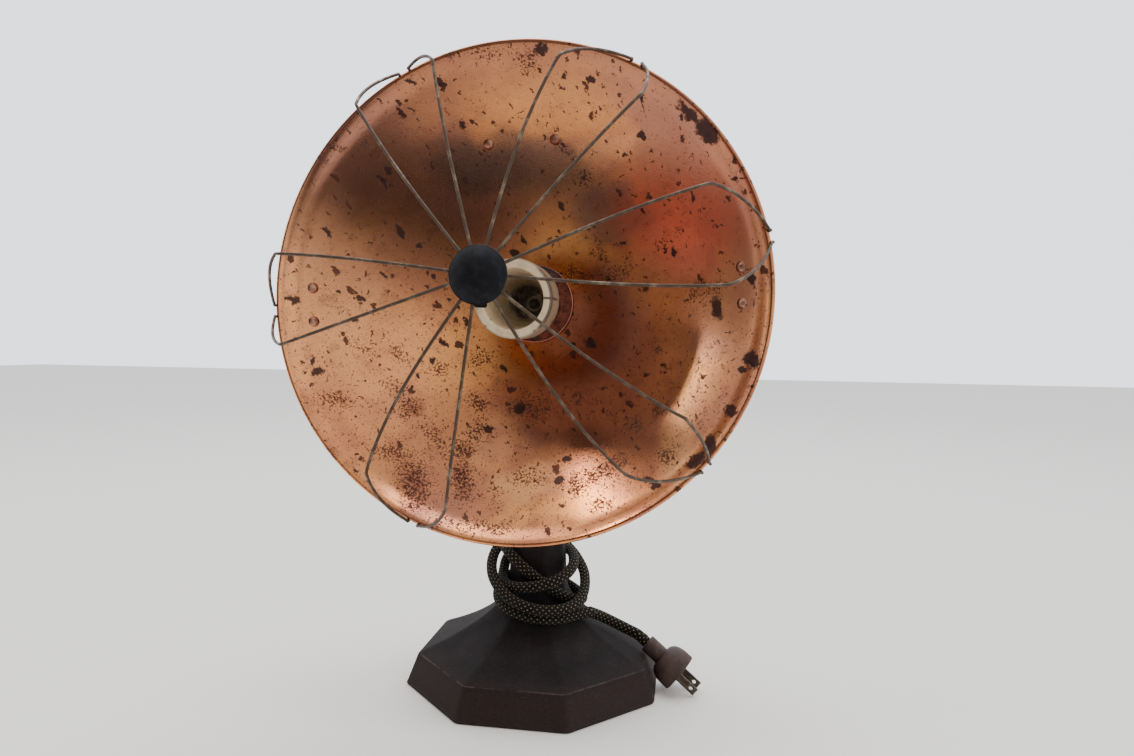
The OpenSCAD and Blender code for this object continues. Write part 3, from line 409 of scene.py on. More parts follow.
SPECKLED = [
    (5, 160, 12, 8, 0), (-22, 164, 16, 6, 0), (48, 40, 16, 8, -55), (62, 22, 16, 9, 10), (95, 40, 7, 6, 0),
    (30, 22, 12, 10, 0), (109, 48, 5, 4, 0), (98, -76, 8, 6, 0), (120, 2, 5, 5, 0), (-40, -43, 14, 9, 20),
    (-136, -10, 4, 3, 0), (-121, -38, 9, 4, -35), (-99, -41, 11, 5, -45), (-70, -51, 9, 7, 0),
    (-133, -76, 13, 6, -20), (-92, -72, 19, 7, -38), (-88, -85, 7, 5, 0), (-40, -76, 12, 7, -25),
    (-66, -101, 17, 7, -38), (-90, -113, 21, 6, -22), (-47, -112, 14, 12, 0), (-40, -132, 17, 11, -60),
    (-37, -98, 12, 8, 60), (-16, -138, 7, 4, 0), (7, -128, 16, 8, 0), (-52, -159, 10, 4, 25),
    (-20, -160, 26, 5, 0), (50, -128, 24, 10, 15), (104, -108, 8, 7, 0), (60, -142, 12, 6, 0),
    (-72, -132, 26, 13, -63), (40, 91, 9, 6, -50), (5, -78, 14, 12, 0), (128, 6, 14, 9, 0)]
RUSSET = [(-73, -136, 24, 10, -63), (-41, -130, 14, 8, -70), (-43, -110, 9, 7, 0), (-84, -80, 10, 6, -30)]
# Broad patches of tarnish and of painted reflection, dark and bright, with how strongly each lies and its
# colour
TARNISH_AND_REFLECTIONS = [
    ((-112, 72, 80, 80, 0), 0.34, (0.4, 0.205, 0.165)),
    ((-132, 84, 78, 30, 60), 0.55, (0.34, 0.165, 0.135)),
    ((-22, 84, 96, 36, -7), 0.42, (0.3, 0.165, 0.125)),
    ((-8, 100, 56, 20, 0), 0.6, (0.19, 0.115, 0.09)), ((52, -56, 84, 62, -35), 0.6, (0.5, 0.205, 0.15)),
    ((28, -94, 50, 17, -12), 0.75, (0.4, 0.155, 0.105)),
    ((70, 139, 34, 13, -38), 0.65, (0.46, 0.2, 0.15)), ((30, 36, 46, 16, 8), 0.6, (0.92, 0.44, 0.16)),
    ((-46, -38, 46, 32, 30), 0.65, (0.96, 0.42, 0.13)),
    ((110, 52, 52, 36, 0), 0.36, (0.68, 0.21, 0.14)), ((-104, -56, 62, 56, 0), 0.3, (0.9, 0.41, 0.19)),
    ((20, 140, 90, 24, 0), 0.75, (0.72, 0.3, 0.1)), ((62, 60, 42, 19, -20), 0.75, (0.27, 0.155, 0.125)),
    ((-30, 62, 34, 20, -10), 0.35, (0.4, 0.145, 0.105)),
    ((46, -142, 60, 9, 15), 0.7, (0.97, 0.41, 0.14)),
    ((-52, -128, 46, 24, -30), 0.4, (0.5, 0.19, 0.115)),
    ((148, -20, 16, 60, 0), 0.5, (0.56, 0.235, 0.135)),
    ((124, -56, 52, 10, 75), 0.6, (0.92, 0.42, 0.14)), ((70, 4, 30, 18, 0), 0.25, (0.46, 0.195, 0.135)),
    ((104, 98, 34, 28, -45), 0.85, (0.36, 0.155, 0.1)),
    ((-42, 101, 46, 21, 0), 0.55, (0.125, 0.074, 0.06)),
    ((30, -104, 36, 14, 0), 0.64, (0.21, 0.088, 0.055)),
    ((-22, -100, 20, 14, 0), 0.45, (0.45, 0.2, 0.12)),
    ((60, -60, 34, 26, -35), 0.36, (0.28, 0.115, 0.09)),
    ((66, -104, 34, 13, 15), 0.28, (0.42, 0.185, 0.115)),
    ((108, -102, 26, 13, 75), 0.6, (0.94, 0.44, 0.2)),
    ((54, -14, 34, 34, 0), 0.65, (0.42, 0.205, 0.19)), ((98, -22, 26, 32, 0), 0.2, (0.46, 0.22, 0.18)),
    ((62, 18, 32, 22, 0), 0.32, (0.38, 0.205, 0.17)), ((60, 104, 22, 12, 0), 0.45, (0.92, 0.41, 0.18)),
    ((136, 66, 22, 44, 15), 0.55, (0.5, 0.17, 0.12)),
    ((94, 122, 58, 15, -45), 0.5, (0.5, 0.215, 0.145)),
    ((36, -118, 46, 12, 0), 0.75, (0.42, 0.17, 0.08)),
    ((104, -50, 28, 12, 75), 0.25, (0.62, 0.27, 0.15)),
    ((74, -125, 20, 11, 15), 0.7, (0.33, 0.135, 0.08)),
    ((24, -131, 14, 10, 0), 0.45, (0.52, 0.225, 0.12)), ((2, -131, 20, 12, 0), 0.5, (0.95, 0.45, 0.19)),
    ((130, -32, 14, 18, 0), 0.5, (0.5, 0.22, 0.14)), ((130, -80, 12, 22, 0), 0.5, (0.5, 0.21, 0.13)),
    ((-146, 8, 34, 70, 0), 0.55, (0.95, 0.44, 0.21)), ((-76, -84, 34, 22, -15), 0.3, (0.4, 0.17, 0.11)),
    ((-52, -150, 26, 12, 15), 0.55, (0.42, 0.175, 0.11)),
    ((-20, -44, 28, 17, -15), 0.55, (0.98, 0.46, 0.18))]
# Narrower streaks of painted shade and painted highlight, which keep closer to their places
PAINTED_LIGHT_STREAKS = [
    ((46, -112, 26, 9, 0), 0.3, (0.24, 0.1, 0.06)), ((76, -130, 15, 9, 30), 0.7, (0.3, 0.125, 0.075)),
    ((28, -131, 12, 8, 0), 0.6, (0.4, 0.17, 0.1)), ((130, -30, 12, 12, 0), 0.5, (0.42, 0.18, 0.115)),
    ((110, -100, 10, 18, -30), 0.6, (0.95, 0.46, 0.22)),
    ((102, 34, 24, 30, 0), 0.5, (0.87, 0.35, 0.21)), ((124, -8, 18, 12, 0), 0.5, (0.9, 0.38, 0.21)),
    ((108, -44, 11, 15, 0), 0.5, (0.85, 0.36, 0.2)), ((20, 46, 26, 13, 0), 0.5, (0.98, 0.49, 0.2)),
    ((4, -132, 22, 11, 10), 0.45, (0.93, 0.42, 0.17))]


def tarnished_copper_and_reflections():
    made, shader, at = finish("tarnished_copper_and_reflections", metallic=1.0)
    x, y, _ = in_head(at)
    plane = at.node("ShaderNodeCombineXYZ", {}, {0: x, 1: y})
    near = wandering(wandering(plane, at, 7, 8), at, 1.7, 4.6)
    cloud = grain(at, 42, 4)
    fine = grain(at, 1.5, 5, 0.6)
    mottle = grain(at, 11, 4, 0.6)
    base = tint(rise(cloud, 0.32, 0.70), colour(0.80, 0.330, 0.128), colour(0.52, 0.190, 0.100))
    soft = wandering(plane, at, 36, 44)
    # Tarnish with painted reflections and painted highlights laid into the copper's colour
    for patch, coverage, shade in TARNISH_AND_REFLECTIONS:
        base = tint((1 - rise(reach(soft, [patch]), 0.5, 1.35)) * coverage, base, colour(*shade))
    # Streaks of painted highlight and painted shade
    for patch, coverage, shade in PAINTED_LIGHT_STREAKS:
        base = tint((1 - rise(reach(near, [patch]), 0.4, 1.4)) * coverage, base, colour(*shade))
    r = (x * x + y * y) ** 0.5
    # Painted shade: the copper darkened towards the top rim
    upper = rise(r + cloud * 16, 128, 172) * rise(y + x * 0.35 + cloud * 24, 20, 100)
    base = tint(upper * 0.62, base, colour(0.33, 0.138, 0.088))
    base = tint(rise(mottle, 0.50, 0.72) * 0.42, base, colour(0.34, 0.130, 0.080))
    faint = (1 - rise(reach(near, FAINT_SPOTS), 0.5, 1.2)) * rise(fine, 0.38, 0.56)
    russet = (1 - rise(reach(near, RUSSET), 0.3, 1.25)) * (0.35 + rise(fine, 0.40, 0.56) * 0.65)
    base = tint(russet * 0.85, base, colour(0.135, 0.036, 0.028))
    crowd = 1 - rise(reach(near, SPECKLED), 0.25, 1.3)
    lower = (1 - rise(y, -60, 60)) * 0.035
    speckle = rise(fine + crowd * 0.115 + lower + rise(mottle, 0.45, 0.65) * 0.03, 0.635, 0.675)
    dark = 1 - rise(reach(near, DARK_SPOTS), 0.62, 0.98)
    spots = flecks(near, 10, 2.5)
    for size, largest in ((5, 1.25), (3.1, 0.95)):
        spots = spots.maths("MAXIMUM", flecks(near, size, largest))
    base = tint(spots * 0.9, base, colour(0.060, 0.022, 0.017))
    base = tint(speckle * 0.85, base, colour(0.055, 0.017, 0.014))
    base = tint((dark * 0.95).maths("MAXIMUM", faint * 0.75), base, colour(0.042, 0.020, 0.020))
    marked = dark.maths("MAXIMUM", spots).maths("MAXIMUM", speckle).maths("MAXIMUM", faint)
    height = fine * 0.3 + mottle * 0.3
    wire_up(shader, {"Base Color": base, "Roughness": 0.12 + cloud * 0.14 + marked * 0.14,
                     "Metallic": 1 - marked * 0.2, "Normal": bump(height, 0.07)})
    return made


def rivet_copper():
    made, shader, at = finish("rivet_copper", metallic=1.0)
    mottle = grain(at, 6, 4, 0.6)
    stain = rise(grain(at, 2.2, 5, 0.65), 0.56, 0.66)
    base = tint(rise(mottle, 0.36, 0.66), colour(0.50, 0.27, 0.20), colour(0.30, 0.135, 0.095))
    base = tint(stain * 0.7, base, colour(0.055, 0.028, 0.024))
    wire_up(shader, {"Base Color": base, "Roughness": 0.3 + mottle * 0.15 + stain * 0.25,
                     "Metallic": 1 - stain * 0.6, "Normal": bump(mottle * 0.5 - stain * 0.5, 0.05)})
    return made


def collar_copper():
    """Reddish spun copper with a slate-grey bloom up and to the left, and a painted highlight as a paler
    line round its bead.
    """
    made, shader, at = finish("collar_copper", metallic=1.0)
    x, y, _ = in_head(at)
    r = (x * x + y * y) ** 0.5
    mottle = grain(at, 5, 4, 0.6)
    fine = grain(at, 1.2, 4, 0.6)
    base = tint(rise(mottle, 0.36, 0.66), colour(0.36, 0.138, 0.105), colour(0.19, 0.077, 0.065))
    bloom = rise(y * 0.9 - x * 0.45 + mottle * 14, 10, 24)
    base = tint(bloom * 0.7, base, colour(0.115, 0.120, 0.150))
    stain = rise(grain(at, 2.4, 5, 0.65), 0.55, 0.64)
    base = tint(stain * 0.7, base, colour(0.045, 0.025, 0.024))
    # Painted highlight round the bead
    painted_rim_highlight = rise(r + fine * 0.5, COLLAR_R - 0.35, COLLAR_R - 0.05)
    base = tint(painted_rim_highlight * 0.65, base, colour(0.66, 0.42, 0.34))
    wire_up(shader, {"Base Color": base, "Roughness": 0.3 + mottle * 0.12 + bloom * 0.15,
                     "Metallic": 1 - stain * 0.3, "Normal": bump(mottle * 0.5 + fine * 0.3, 0.05)})
    return made


def cast_paint():
    """Matt paint over sand-cast iron, browner down the skirt, thin along its top edge."""
    made, shader, at = finish("cast_paint", specular_ior_level=0.10)
    _, _, z = split(at)
    pits = grain(at, 1.1, 4, 0.75)
    lumps = grain(at, 4.5, 3, 0.6)
    patch = grain(at, 24, 4)
    edge = 1 - rise((z - SKIRT_H + 0.3).maths("ABSOLUTE") + grain(at, 5, 3) * 0.9, 0.55, 1.15)
    wear = edge * rise(grain(at, 16, 4, 0.7), 0.40, 0.56)
    base = tint(rise(patch, 0.35, 0.7), colour(0.0115, 0.0096, 0.0102), colour(0.0195, 0.0158, 0.0168))
    skirt = 1 - rise(z + patch * 10, SKIRT_H - 2, SKIRT_H + 12)
    base = tint(skirt * 0.8, base, colour(0.031, 0.0195, 0.0185))
    base = tint(wear * 0.5, base, colour(0.088, 0.070, 0.070))
    base = tint(rise(pits, 0.54, 0.70) * 0.50, base, colour(0.062, 0.050, 0.052))
    base = tint((1 - rise(pits, 0.32, 0.45)) * 0.5, base, colour(0.006, 0.005, 0.005))
    wire_up(shader, {"Base Color": base, "Roughness": 0.62 + pits * 0.2 - wear * 0.1,
                     "Normal": bump(pits * 0.8 + lumps * 0.5, 0.34, 0.9)})
    return made


def black_enamel(name, rough=0.3, brown=0.3):
    made, shader, at = finish(name, specular_ior_level=0.22)
    worn = rise(grain(at, 4, 5, 0.7), 0.6, 0.75)
    base = tint(worn * brown, colour(0.0075, 0.0078, 0.0095), colour(0.08, 0.06, 0.05))
    fine = grain(at, 0.9, 3)
    wire_up(shader, {"Base Color": base, "Roughness": fine * 0.2 + worn * 0.25 + (rough - 0.1),
                     "Normal": bump(fine + grain(at, 6, 3), 0.04)})
    return made


def cap_enamel():
    """Matt black over fine roughness, with a painted highlight as a pale line round the upper part of the
    cap's rim.
    """
    made, shader, at = finish("cap_enamel", specular_ior_level=0.08)
    x, y, _ = in_head(at)
    r = (x * x + y * y) ** 0.5
    # Painted highlight along the upper part of the rim
    painted_rim_highlight = rise(r + grain(at, 3, 3) * 0.9, HUB_R + 0.05, HUB_R + 0.35)
    painted_rim_highlight = painted_rim_highlight * rise(y + grain(at, 9, 2) * 20, -4, 12)
    fine = grain(at, 0.7, 4, 0.7)
    cloud = rise(grain(at, 5, 4), 0.4, 0.7)
    base = tint(cloud, colour(0.0115, 0.0120, 0.0155), colour(0.0200, 0.0208, 0.0255))
    base = tint(painted_rim_highlight * 0.55, base, colour(0.21, 0.15, 0.125))
    wire_up(shader, {"Base Color": base, "Roughness": 0.5 + fine * 0.2, "Normal": bump(fine, 0.05)})
    return made


def bare_metal(name, clean, stained, rough=0.35, spread=0.5, size=7):
    made, shader, at = finish(name, metallic=1.0)
    stain = rise(grain(at, size, 5, 0.65), 1 - spread - 0.12, 1 - spread + 0.14)
    fine = grain(at, 0.8, 3)
    base = tint(stain, clean, stained)
    wire_up(shader, {"Base Color": base, "Roughness": stain * 0.22 + fine * 0.12 + rough,
                     "Metallic": 1 - stain * 0.35,
                     "Normal": bump(fine * 0.6 + stain * 0.4, 0.05)})
    return made


def old_brass():
    made, shader, at = finish("old_brass", metallic=1.0)
    stain = rise(grain(at, 6, 4), 0.42, 0.62)
    green = rise(grain(at, 2.6, 5, 0.7), 0.54, 0.66)
    base = tint(stain, colour(0.55, 0.40, 0.18), colour(0.24, 0.16, 0.085))
    base = tint(green * 0.7, base, colour(0.20, 0.30, 0.22))
    wire_up(shader, {"Base Color": base, "Roughness": 0.35 + stain * 0.2 + green * 0.3,
                     "Metallic": 1 - green * 0.85, "Normal": bump(green + grain(at, 1, 3) * 0.4, 0.08)})
    return made


def soiled_porcelain():
    """Glazed, browned down its flank, with painted shade deep inside, a painted shadow round the back of
    the flank, and a thin dark line at the right.
    """
    made, shader, at = finish("soiled_porcelain", coat_weight=0.35, coat_roughness=0.2)
    x, y, z = in_head(at)
    y = y + (z - COLLAR_FRONT) * sin(SOCKET_SAG)
    r = (x * x + y * y) ** 0.5
    soil = rise(grain(at, 8, 5, 0.62), 0.46, 0.70)
    specks = flecks(at, 5, 1.6)
    base = tint(soil * 0.45, colour(0.84, 0.665, 0.445), colour(0.50, 0.365, 0.225))
    # Painted shade: darker deeper inside the mouth
    inside = (1 - rise(r, CUP_MOUTH_R - 2.5, CUP_MOUTH_R + 0.5)) * rise(CUP_AHEAD - z, 0, 30)
    base = tint(inside * 0.5, base, colour(0.36, 0.325, 0.215))
    flank = rise(r, CUP_R - 1.6, CUP_R - 0.6)
    base = tint(flank * 0.65, base, colour(0.27, 0.215, 0.155))
    edge = rise(r, CUP_R - 2.2, CUP_R - 1.5)
    edge = edge * rise(z + grain(at, 4, 3) * 2, CUP_AHEAD - 2.4, CUP_AHEAD - 1.6)
    base = tint(edge * rise(x + grain(at, 7, 3) * 12, 20, 28) * 0.9, base, colour(0.075, 0.042, 0.030))
    # Painted shadow round the back of the flank, where it meets the collar
    painted_back_shadow = flank * (1 - rise(z + grain(at, 5, 3) * 3, CUP_AHEAD - CUP_L + 5, CUP_AHEAD - CUP_L + 8))
    base = tint(painted_back_shadow * 0.92, base, colour(0.012, 0.008, 0.007))
    # A thin dark line across the rim at the right
    thin_dark_line = 1 - rise((y - 1.4 + x * 0.04).maths("ABSOLUTE") + grain(at, 3, 2) * 0.5, 0.90, 1.20)
    thin_dark_line = thin_dark_line * rise(x, CUP_MOUTH_R - 0.5, CUP_MOUTH_R + 0.5)
    thin_dark_line = thin_dark_line * rise(z, CUP_AHEAD - 26, CUP_AHEAD - 18)
    base = tint(thin_dark_line * 0.9, base, colour(0.06, 0.042, 0.034))
    base = tint(specks * 0.7, base, colour(0.11, 0.08, 0.06))
    wire_up(shader, {"Base Color": base, "Roughness": 0.34 + soil * 0.25,
                     "Normal": bump(grain(at, 7, 3) + specks * 0.2 - thin_dark_line * 0.5, 0.12)})
    return made


DOTS_ROUND, DOT_PITCH = 6, 4.3
YARN_WAVES = 8 * math.pi


def braided_cloth():
    """Dark braid with a tan yarn that shows as small dots, from the cord's own turn and length."""
    made, shader, at = finish("braided_cloth", specular_ior_level=0.15,
                              sheen_weight=0.02, sheen_roughness=0.5)
    u, v, _ = split(at.node("ShaderNodeUVMap", {"uv_map": "Run"}, {}))
    one, two = u * DOTS_ROUND + v / DOT_PITCH, u * DOTS_ROUND - v / DOT_PITCH
    side_one, side_two = one.maths("FRACT") - 0.5, two.maths("FRACT") - 0.5
    middle = (side_one * side_one + side_two * side_two) ** 0.5
    fibre = grain(at, 0.45, 3)
    worn = rise(grain(at, 11, 4), 0.38, 0.66)
    dot = 1 - rise(middle + fibre * 0.10, 0.17, 0.26)
    yarns = (side_one * YARN_WAVES).maths("SINE") * (side_two * YARN_WAVES).maths("SINE") * 0.5 + 0.5
    base = tint(rise(fibre, 0.35, 0.7), colour(0.0042, 0.0038, 0.0032), colour(0.0105, 0.0092, 0.0072))
    base = tint(worn * 0.3, base, colour(0.020, 0.0165, 0.0115))
    base = tint(dot * (0.95 - worn * 0.3), base, colour(0.270, 0.225, 0.140))
    wire_up(shader, {"Base Color": base, "Roughness": 0.75 + fibre * 0.2,
                     "Normal": bump(dot * 0.7 + yarns * 0.35 + fibre * 0.25, 0.30)})
    return made


def brown_moulding():
    made, shader, at = finish("brown_moulding", specular_ior_level=0.3)
    cloud = grain(at, 9, 4)
    fine = grain(at, 0.8, 4, 0.7)
    scuff = rise(grain(at, 4, 5, 0.7), 0.58, 0.72)
    base = tint(rise(cloud, 0.35, 0.65), colour(0.040, 0.0225, 0.0190), colour(0.068, 0.041, 0.034))
    base = tint(scuff * 0.5, base, colour(0.125, 0.090, 0.075))
    wire_up(shader, {"Base Color": base, "Roughness": 0.45 + fine * 0.2 + scuff * 0.1,
                     "Normal": bump(fine + scuff * 0.5, 0.06)})
    return made


def pressed_board():
    made, shader, at = finish("pressed_board")
    fibre = grain(stretched(at, 1, 0.15, 1), 1.2, 4, 0.7)
    stain = rise(grain(at, 20, 4), 0.45, 0.65)
    base = tint(stain, colour(0.22, 0.16, 0.10), colour(0.12, 0.085, 0.055))
    wire_up(shader, {"Base Color": base, "Roughness": 0.8 + fibre * 0.15, "Normal": bump(fibre, 0.15)})
    return made


def painted_wood():
    made, shader, at = finish("painted_wood", coat_roughness=0.2)
    figure = grain(stretched(at, 0.08, 1, 1), 1.4, 5, 0.6)
    worn = rise(grain(stretched(at, 0.4, 1, 1), 5, 4, 0.7), 0.58, 0.72)
    base = tint(worn * 0.6, colour(0.018, 0.014, 0.013), colour(0.13, 0.07, 0.04))
    wire_up(shader, {"Base Color": base, "Roughness": 0.38 + worn * 0.25,
                     "Normal": bump(figure, 0.12)})
    return made


COPPER = tarnished_copper_and_reflections()
PAINT = cast_paint()
ENAMEL = black_enamel("black_enamel", 0.42, 0.12)
CAP = cap_enamel()
STRAP_PAINT = black_enamel("strap_paint", 0.45, 0.5)
BUSHING = black_enamel("bushing_moulding", 0.5, 0.2)
RED_COPPER = collar_copper()
RIVET = rivet_copper()
WIRE = bare_metal("stained_wire", colour(0.24, 0.190, 0.138), colour(0.090, 0.060, 0.043), 0.34, 0.6, 9)
STEEL = bare_metal("dull_steel", colour(0.38, 0.36, 0.33), colour(0.16, 0.11, 0.08), 0.36, 0.45, 3)
DARK_STEEL = bare_metal("dark_screw", colour(0.10, 0.09, 0.085), colour(0.05, 0.035, 0.03), 0.42, 0.5, 3)
BRASS = old_brass()
SHELL = bare_metal("shell_brass", colour(0.62, 0.50, 0.33), colour(0.26, 0.21, 0.16), 0.45, 0.6, 5)
BLADE = bare_metal("blade_brass", colour(0.115, 0.092, 0.066), colour(0.050, 0.036, 0.027), 0.32, 0.5, 3)
PORCELAIN = soiled_porcelain()
BRAID = braided_cloth()
MOULDING = brown_moulding()
BOARD = pressed_board()
WOOD = painted_wood()

# Camera and light

# The photo's width and its lens, in pixels; where it was taken from, in metres
PHOTO_W, FOCAL = 1134, 776
TAKEN_FROM = (0.1150, -0.6184, 0.2701)
SENSOR_W = 36

view_ahead = unit((-0.14963, 0.98779, -0.04349))
view_right = unit((0.98851, 0.15041, 0.01529))
view_up = np.cross(view_right, view_ahead)
camera = bpy.data.objects.new("camera", bpy.data.cameras.new("camera"))
bpy.context.scene.collection.objects.link(camera)
camera.matrix_world = Matrix([
    (view_right[i], view_up[i], -view_ahead[i], TAKEN_FROM[i]) for i in range(3)] + [(0, 0, 0, 1)])
camera.data.sensor_width = SENSOR_W
camera.data.lens = FOCAL / PHOTO_W * SENSOR_W
camera.data.clip_start = 0.01
bpy.context.scene.camera = camera

FLOOR_FRONT, FLOOR_REACH = -0.47, 6


def floor():
    """A pale shelf whose front edge lies between the bowl and the camera."""
    mesh = bpy.data.meshes.new("floor")
    corners = [(-FLOOR_REACH, FLOOR_FRONT, 0), (FLOOR_REACH, FLOOR_FRONT, 0),
               (FLOOR_REACH, FLOOR_REACH, 0), (-FLOOR_REACH, FLOOR_REACH, 0)]
    mesh.from_pydata(corners, [], [(0, 1, 2, 3)])
    made = bpy.data.objects.new("floor", mesh)
    bpy.context.scene.collection.objects.link(made)
    pale = bpy.data.materials.new("pale_floor")
    pale.use_nodes = True
    shader = pale.node_tree.nodes["Principled BSDF"]
    shader.inputs["Base Color"].default_value = colour(0.84, 0.82, 0.79)
    shader.inputs["Roughness"].default_value = 0.6
    mesh.materials.append(pale)


def soft_light(name, place, aim, size, power, warmth=1.0):
    """An oblong lamp that points at aim; a warmth of 1 is white, and less is warmer."""
    lamp = bpy.data.lights.new(name, "AREA")
    lamp.shape = "RECTANGLE"
    lamp.size, lamp.size_y = size
    lamp.energy = power
    lamp.color = (1.0, 0.5 + 0.5 * warmth, warmth)
    made = bpy.data.objects.new(name, lamp)
    bpy.context.scene.collection.objects.link(made)
    made.location = place
    made.rotation_mode = "QUATERNION"
    made.rotation_quaternion = (Vector(aim) - Vector(place)).to_track_quat("-Z", "Y")


def room_light():
    """A pale backdrop, and the room that the metal reflects.

    The room is dark ahead and below, and paler at the right, behind and above.
    """
    room = bpy.data.worlds.new("room")
    bpy.context.scene.world = room
    room.use_nodes = True
    tree = room.node_tree
    coordinate = tree.nodes.new("ShaderNodeTexCoord")
    x, y, z = split(Socket(tree, coordinate.outputs["Generated"]))
    ahead = y * -1
    shade = tint(rise(x, -0.30, 0.05), colour(0.15, 0.14, 0.135), colour(0.72, 0.69, 0.65))
    shade = tint(rise(x, 0.10, 0.60), shade, colour(1.30, 1.26, 1.19))
    shade = tint(rise(x * -1, 0.82, 0.93), shade, colour(0.40, 0.39, 0.38))
    shade = tint(rise(z, 0.77, 0.86), shade, colour(0.85, 0.86, 0.88))
    shade = tint(rise(z * -1, -0.04, 0.40), shade, colour(0.20, 0.185, 0.175))
    warm = rise(x * -0.33 - y * 0.91 - z * 0.25, 0.93, 0.985)
    shade = tint(warm * 0.85, shade, colour(0.46, 0.41, 0.35))
    red = rise(x * -0.84 - y * 0.47 - z * 0.27, 0.92, 0.99)
    shade = tint(red * 0.55, shade, colour(0.78, 0.26, 0.21))
    shade = tint(rise(ahead, 0.02, 0.24), colour(1.65, 1.68, 1.74), shade)
    seen = tree.nodes.new("ShaderNodeLightPath")
    shade = tint(Socket(tree, seen.outputs["Is Camera Ray"]), shade, colour(2.05, 2.12, 2.26))
    background = tree.nodes["Background"]
    tree.links.new(shade.out, background.inputs["Color"])
    background.inputs["Strength"].default_value = 1.0


floor()
soft_light("overhead", (0.1, 0.35, 2.4), (0, 0.1, 0.2), (1.8, 1.8), 34)
soft_light("ceiling_strip", (-0.95, -0.62, 1.75), (0, -0.05, 0.3), (0.5, 0.2), 4.2, 0.70)
soft_light("left_strip", (-1.7, -0.7, 1.1), (0, -0.05, 0.3), (0.09, 0.6), 1.3)
room_light()

# The cord: its route repeats the source's, finer

# Each loop has a mean height, a tilt, the side on which it is low, how slack it is all round, how
# much slacker it is on one side and which, and how far it swings out behind the column
WINDING_ROWS = [
    (65, 7, -50, 0, 0, 0, 0), (84, 21.5, 15, 0, 0, 0, 0),
    (89, 10, -135, 0.5, 8.8, -72, 11), (86, 19.5, -60, 9.7, 4, -90, 0)]
# The side it starts from, the loops it covers and the points in a loop; then the share of a loop
# where it passes to the next
WINDING_SIDE, WINDING_FROM, WINDING_TO, LOOP_RINGS = 5, 0.12, 3.58, 24
PASS_FROM, PASS_SHARE = 0.5, 0.42


def cast_r(z):
    """Corner radius of the casting at height z."""
    if z <= SKIRT_H:
        return mix(BASE_R, SKIRT_R, z / SKIRT_H)
    if z <= FLARE_H:
        return COLUMN_R + (SKIRT_R - COLUMN_R) * (1 - (z - SKIRT_H) / (FLARE_H - SKIRT_H)) ** 2
    return mix(COLUMN_R, COLUMN_TOP_R, min((z - FLARE_H) / (PIVOT[2] - YOKE_R - FLARE_H), 1))


def stand_off(z):
    """How much further out a round cord lies than the side it touches."""
    slope = 0 if z > FLARE_H else 2 * (SKIRT_R - COLUMN_R) * (FLARE_H - z) / (FLARE_H - SKIRT_H) ** 2
    return CORD_R * math.hypot(1, slope)


def around(r, a, z):
    return np.array([r * cos(a), r * sin(a), z])


def row_point(row, a):
    z = row[0] - row[1] * cos(a - row[2])
    return around(cast_r(z) + stand_off(z) + row[3] + row[4] * max(cos(a - row[5]), 0) ** 2, a, z)


def winding_point(v):
    """The winding's middle line, v loops from its start."""
    i = math.floor(v)
    s, a = ease((v - i - PASS_FROM) / PASS_SHARE), WINDING_SIDE - 360 * v
    row, following = WINDING_ROWS[i], WINDING_ROWS[min(i + 1, len(WINDING_ROWS) - 1)]
    return mix(row_point(row, a), row_point(following, a), s) + around(4 * s * (1 - s) * row[6], a, 0)


winding = [winding_point(i / LOOP_RINGS)
           for i in range(round(WINDING_FROM * LOOP_RINGS), round(WINDING_TO * LOOP_RINGS) + 1)]
winding = ([winding[0] - unit(winding[1] - winding[0]) * CORD_D] + winding
           + [winding[-1] + unit(winding[-1] - winding[-2]) * CORD_D])
foot_way, head_way = unit(winding[0] - winding[1]), unit(winding[-1] - winding[-2])
plug_face, plug_axis = np.array([116.5, -13, 13.5]), unit([0.78, -0.17, -0.6])
plug_start = plug_face - PLUG_L * plug_axis
lead = [winding[0], winding[0] + foot_way * CORD_D, (46, -11, 56.5), (53, -5, 52), (61, -2, 47.5),
        (69, -2, 44), (76, -3.5, 41.5), plug_start - CORD_D * plug_axis, plug_start]

# Where the rear cover's slope carries the bushing, in the head's frame
COVER_BEND = dish(COVER_R) - SHEET - 0.5 - COVER_L
BUSHING_REACH = COVER_R * sin(COVER_SLOPE) + (PIVOT_AHEAD - COVER_BEND) * cos(COVER_SLOPE)
BUSHING_T = PIVOT_AHEAD - BUSHING_REACH * cos(COVER_SLOPE)
BUSHING_Y = -BUSHING_REACH * sin(COVER_SLOPE)
exit_way = unit(placed(HEAD, [(0, BUSHING_Y, BUSHING_T)])[0] - PIVOT)
bushing_end = PIVOT + exit_way * (BUSHING_REACH + BUSHING_L)
drop = [winding[-1], winding[-1] + head_way * CORD_D, (-17, 37, 107), (-9, 43, 118), (-4, 46, 134),
        (-1, 49, 158), (0, 52, 186), (0, 54, 212), (0, 51, 237),
        bushing_end + exit_way * (CORD_D + GAP), bushing_end + exit_way * GAP]
drop_path = smooth_run(drop, 8)[::-1]
wound_path = np.vstack([smooth_run(winding, 3)[::-1][:-1], smooth_run(lead, 8)])

points, faces, run = tube(drop_path, CORD_R, 20)
cord_drop = piece("cord_upper", points, faces, WORLD, None, BRAID, ["cord_drop"], run=run)
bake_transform(cord_drop)
points, faces, run = tube(wound_path, CORD_R, 20, run_length(drop_path))
cord_wound = piece("cord_wound", points, faces, WORLD, "stand", BRAID,
                   ["cord_winding", "cord_lead"], run=run)

# Plug

PLUG = (move(*plug_face) @ turn(math.degrees(math.atan2(plug_axis[1], plug_axis[0])), "Z")
        @ turn(math.degrees(math.acos(plug_axis[2])), "Y") @ turn(90, "Z"))


KNURLS, KNURL_DEPTH = 64, 0.28


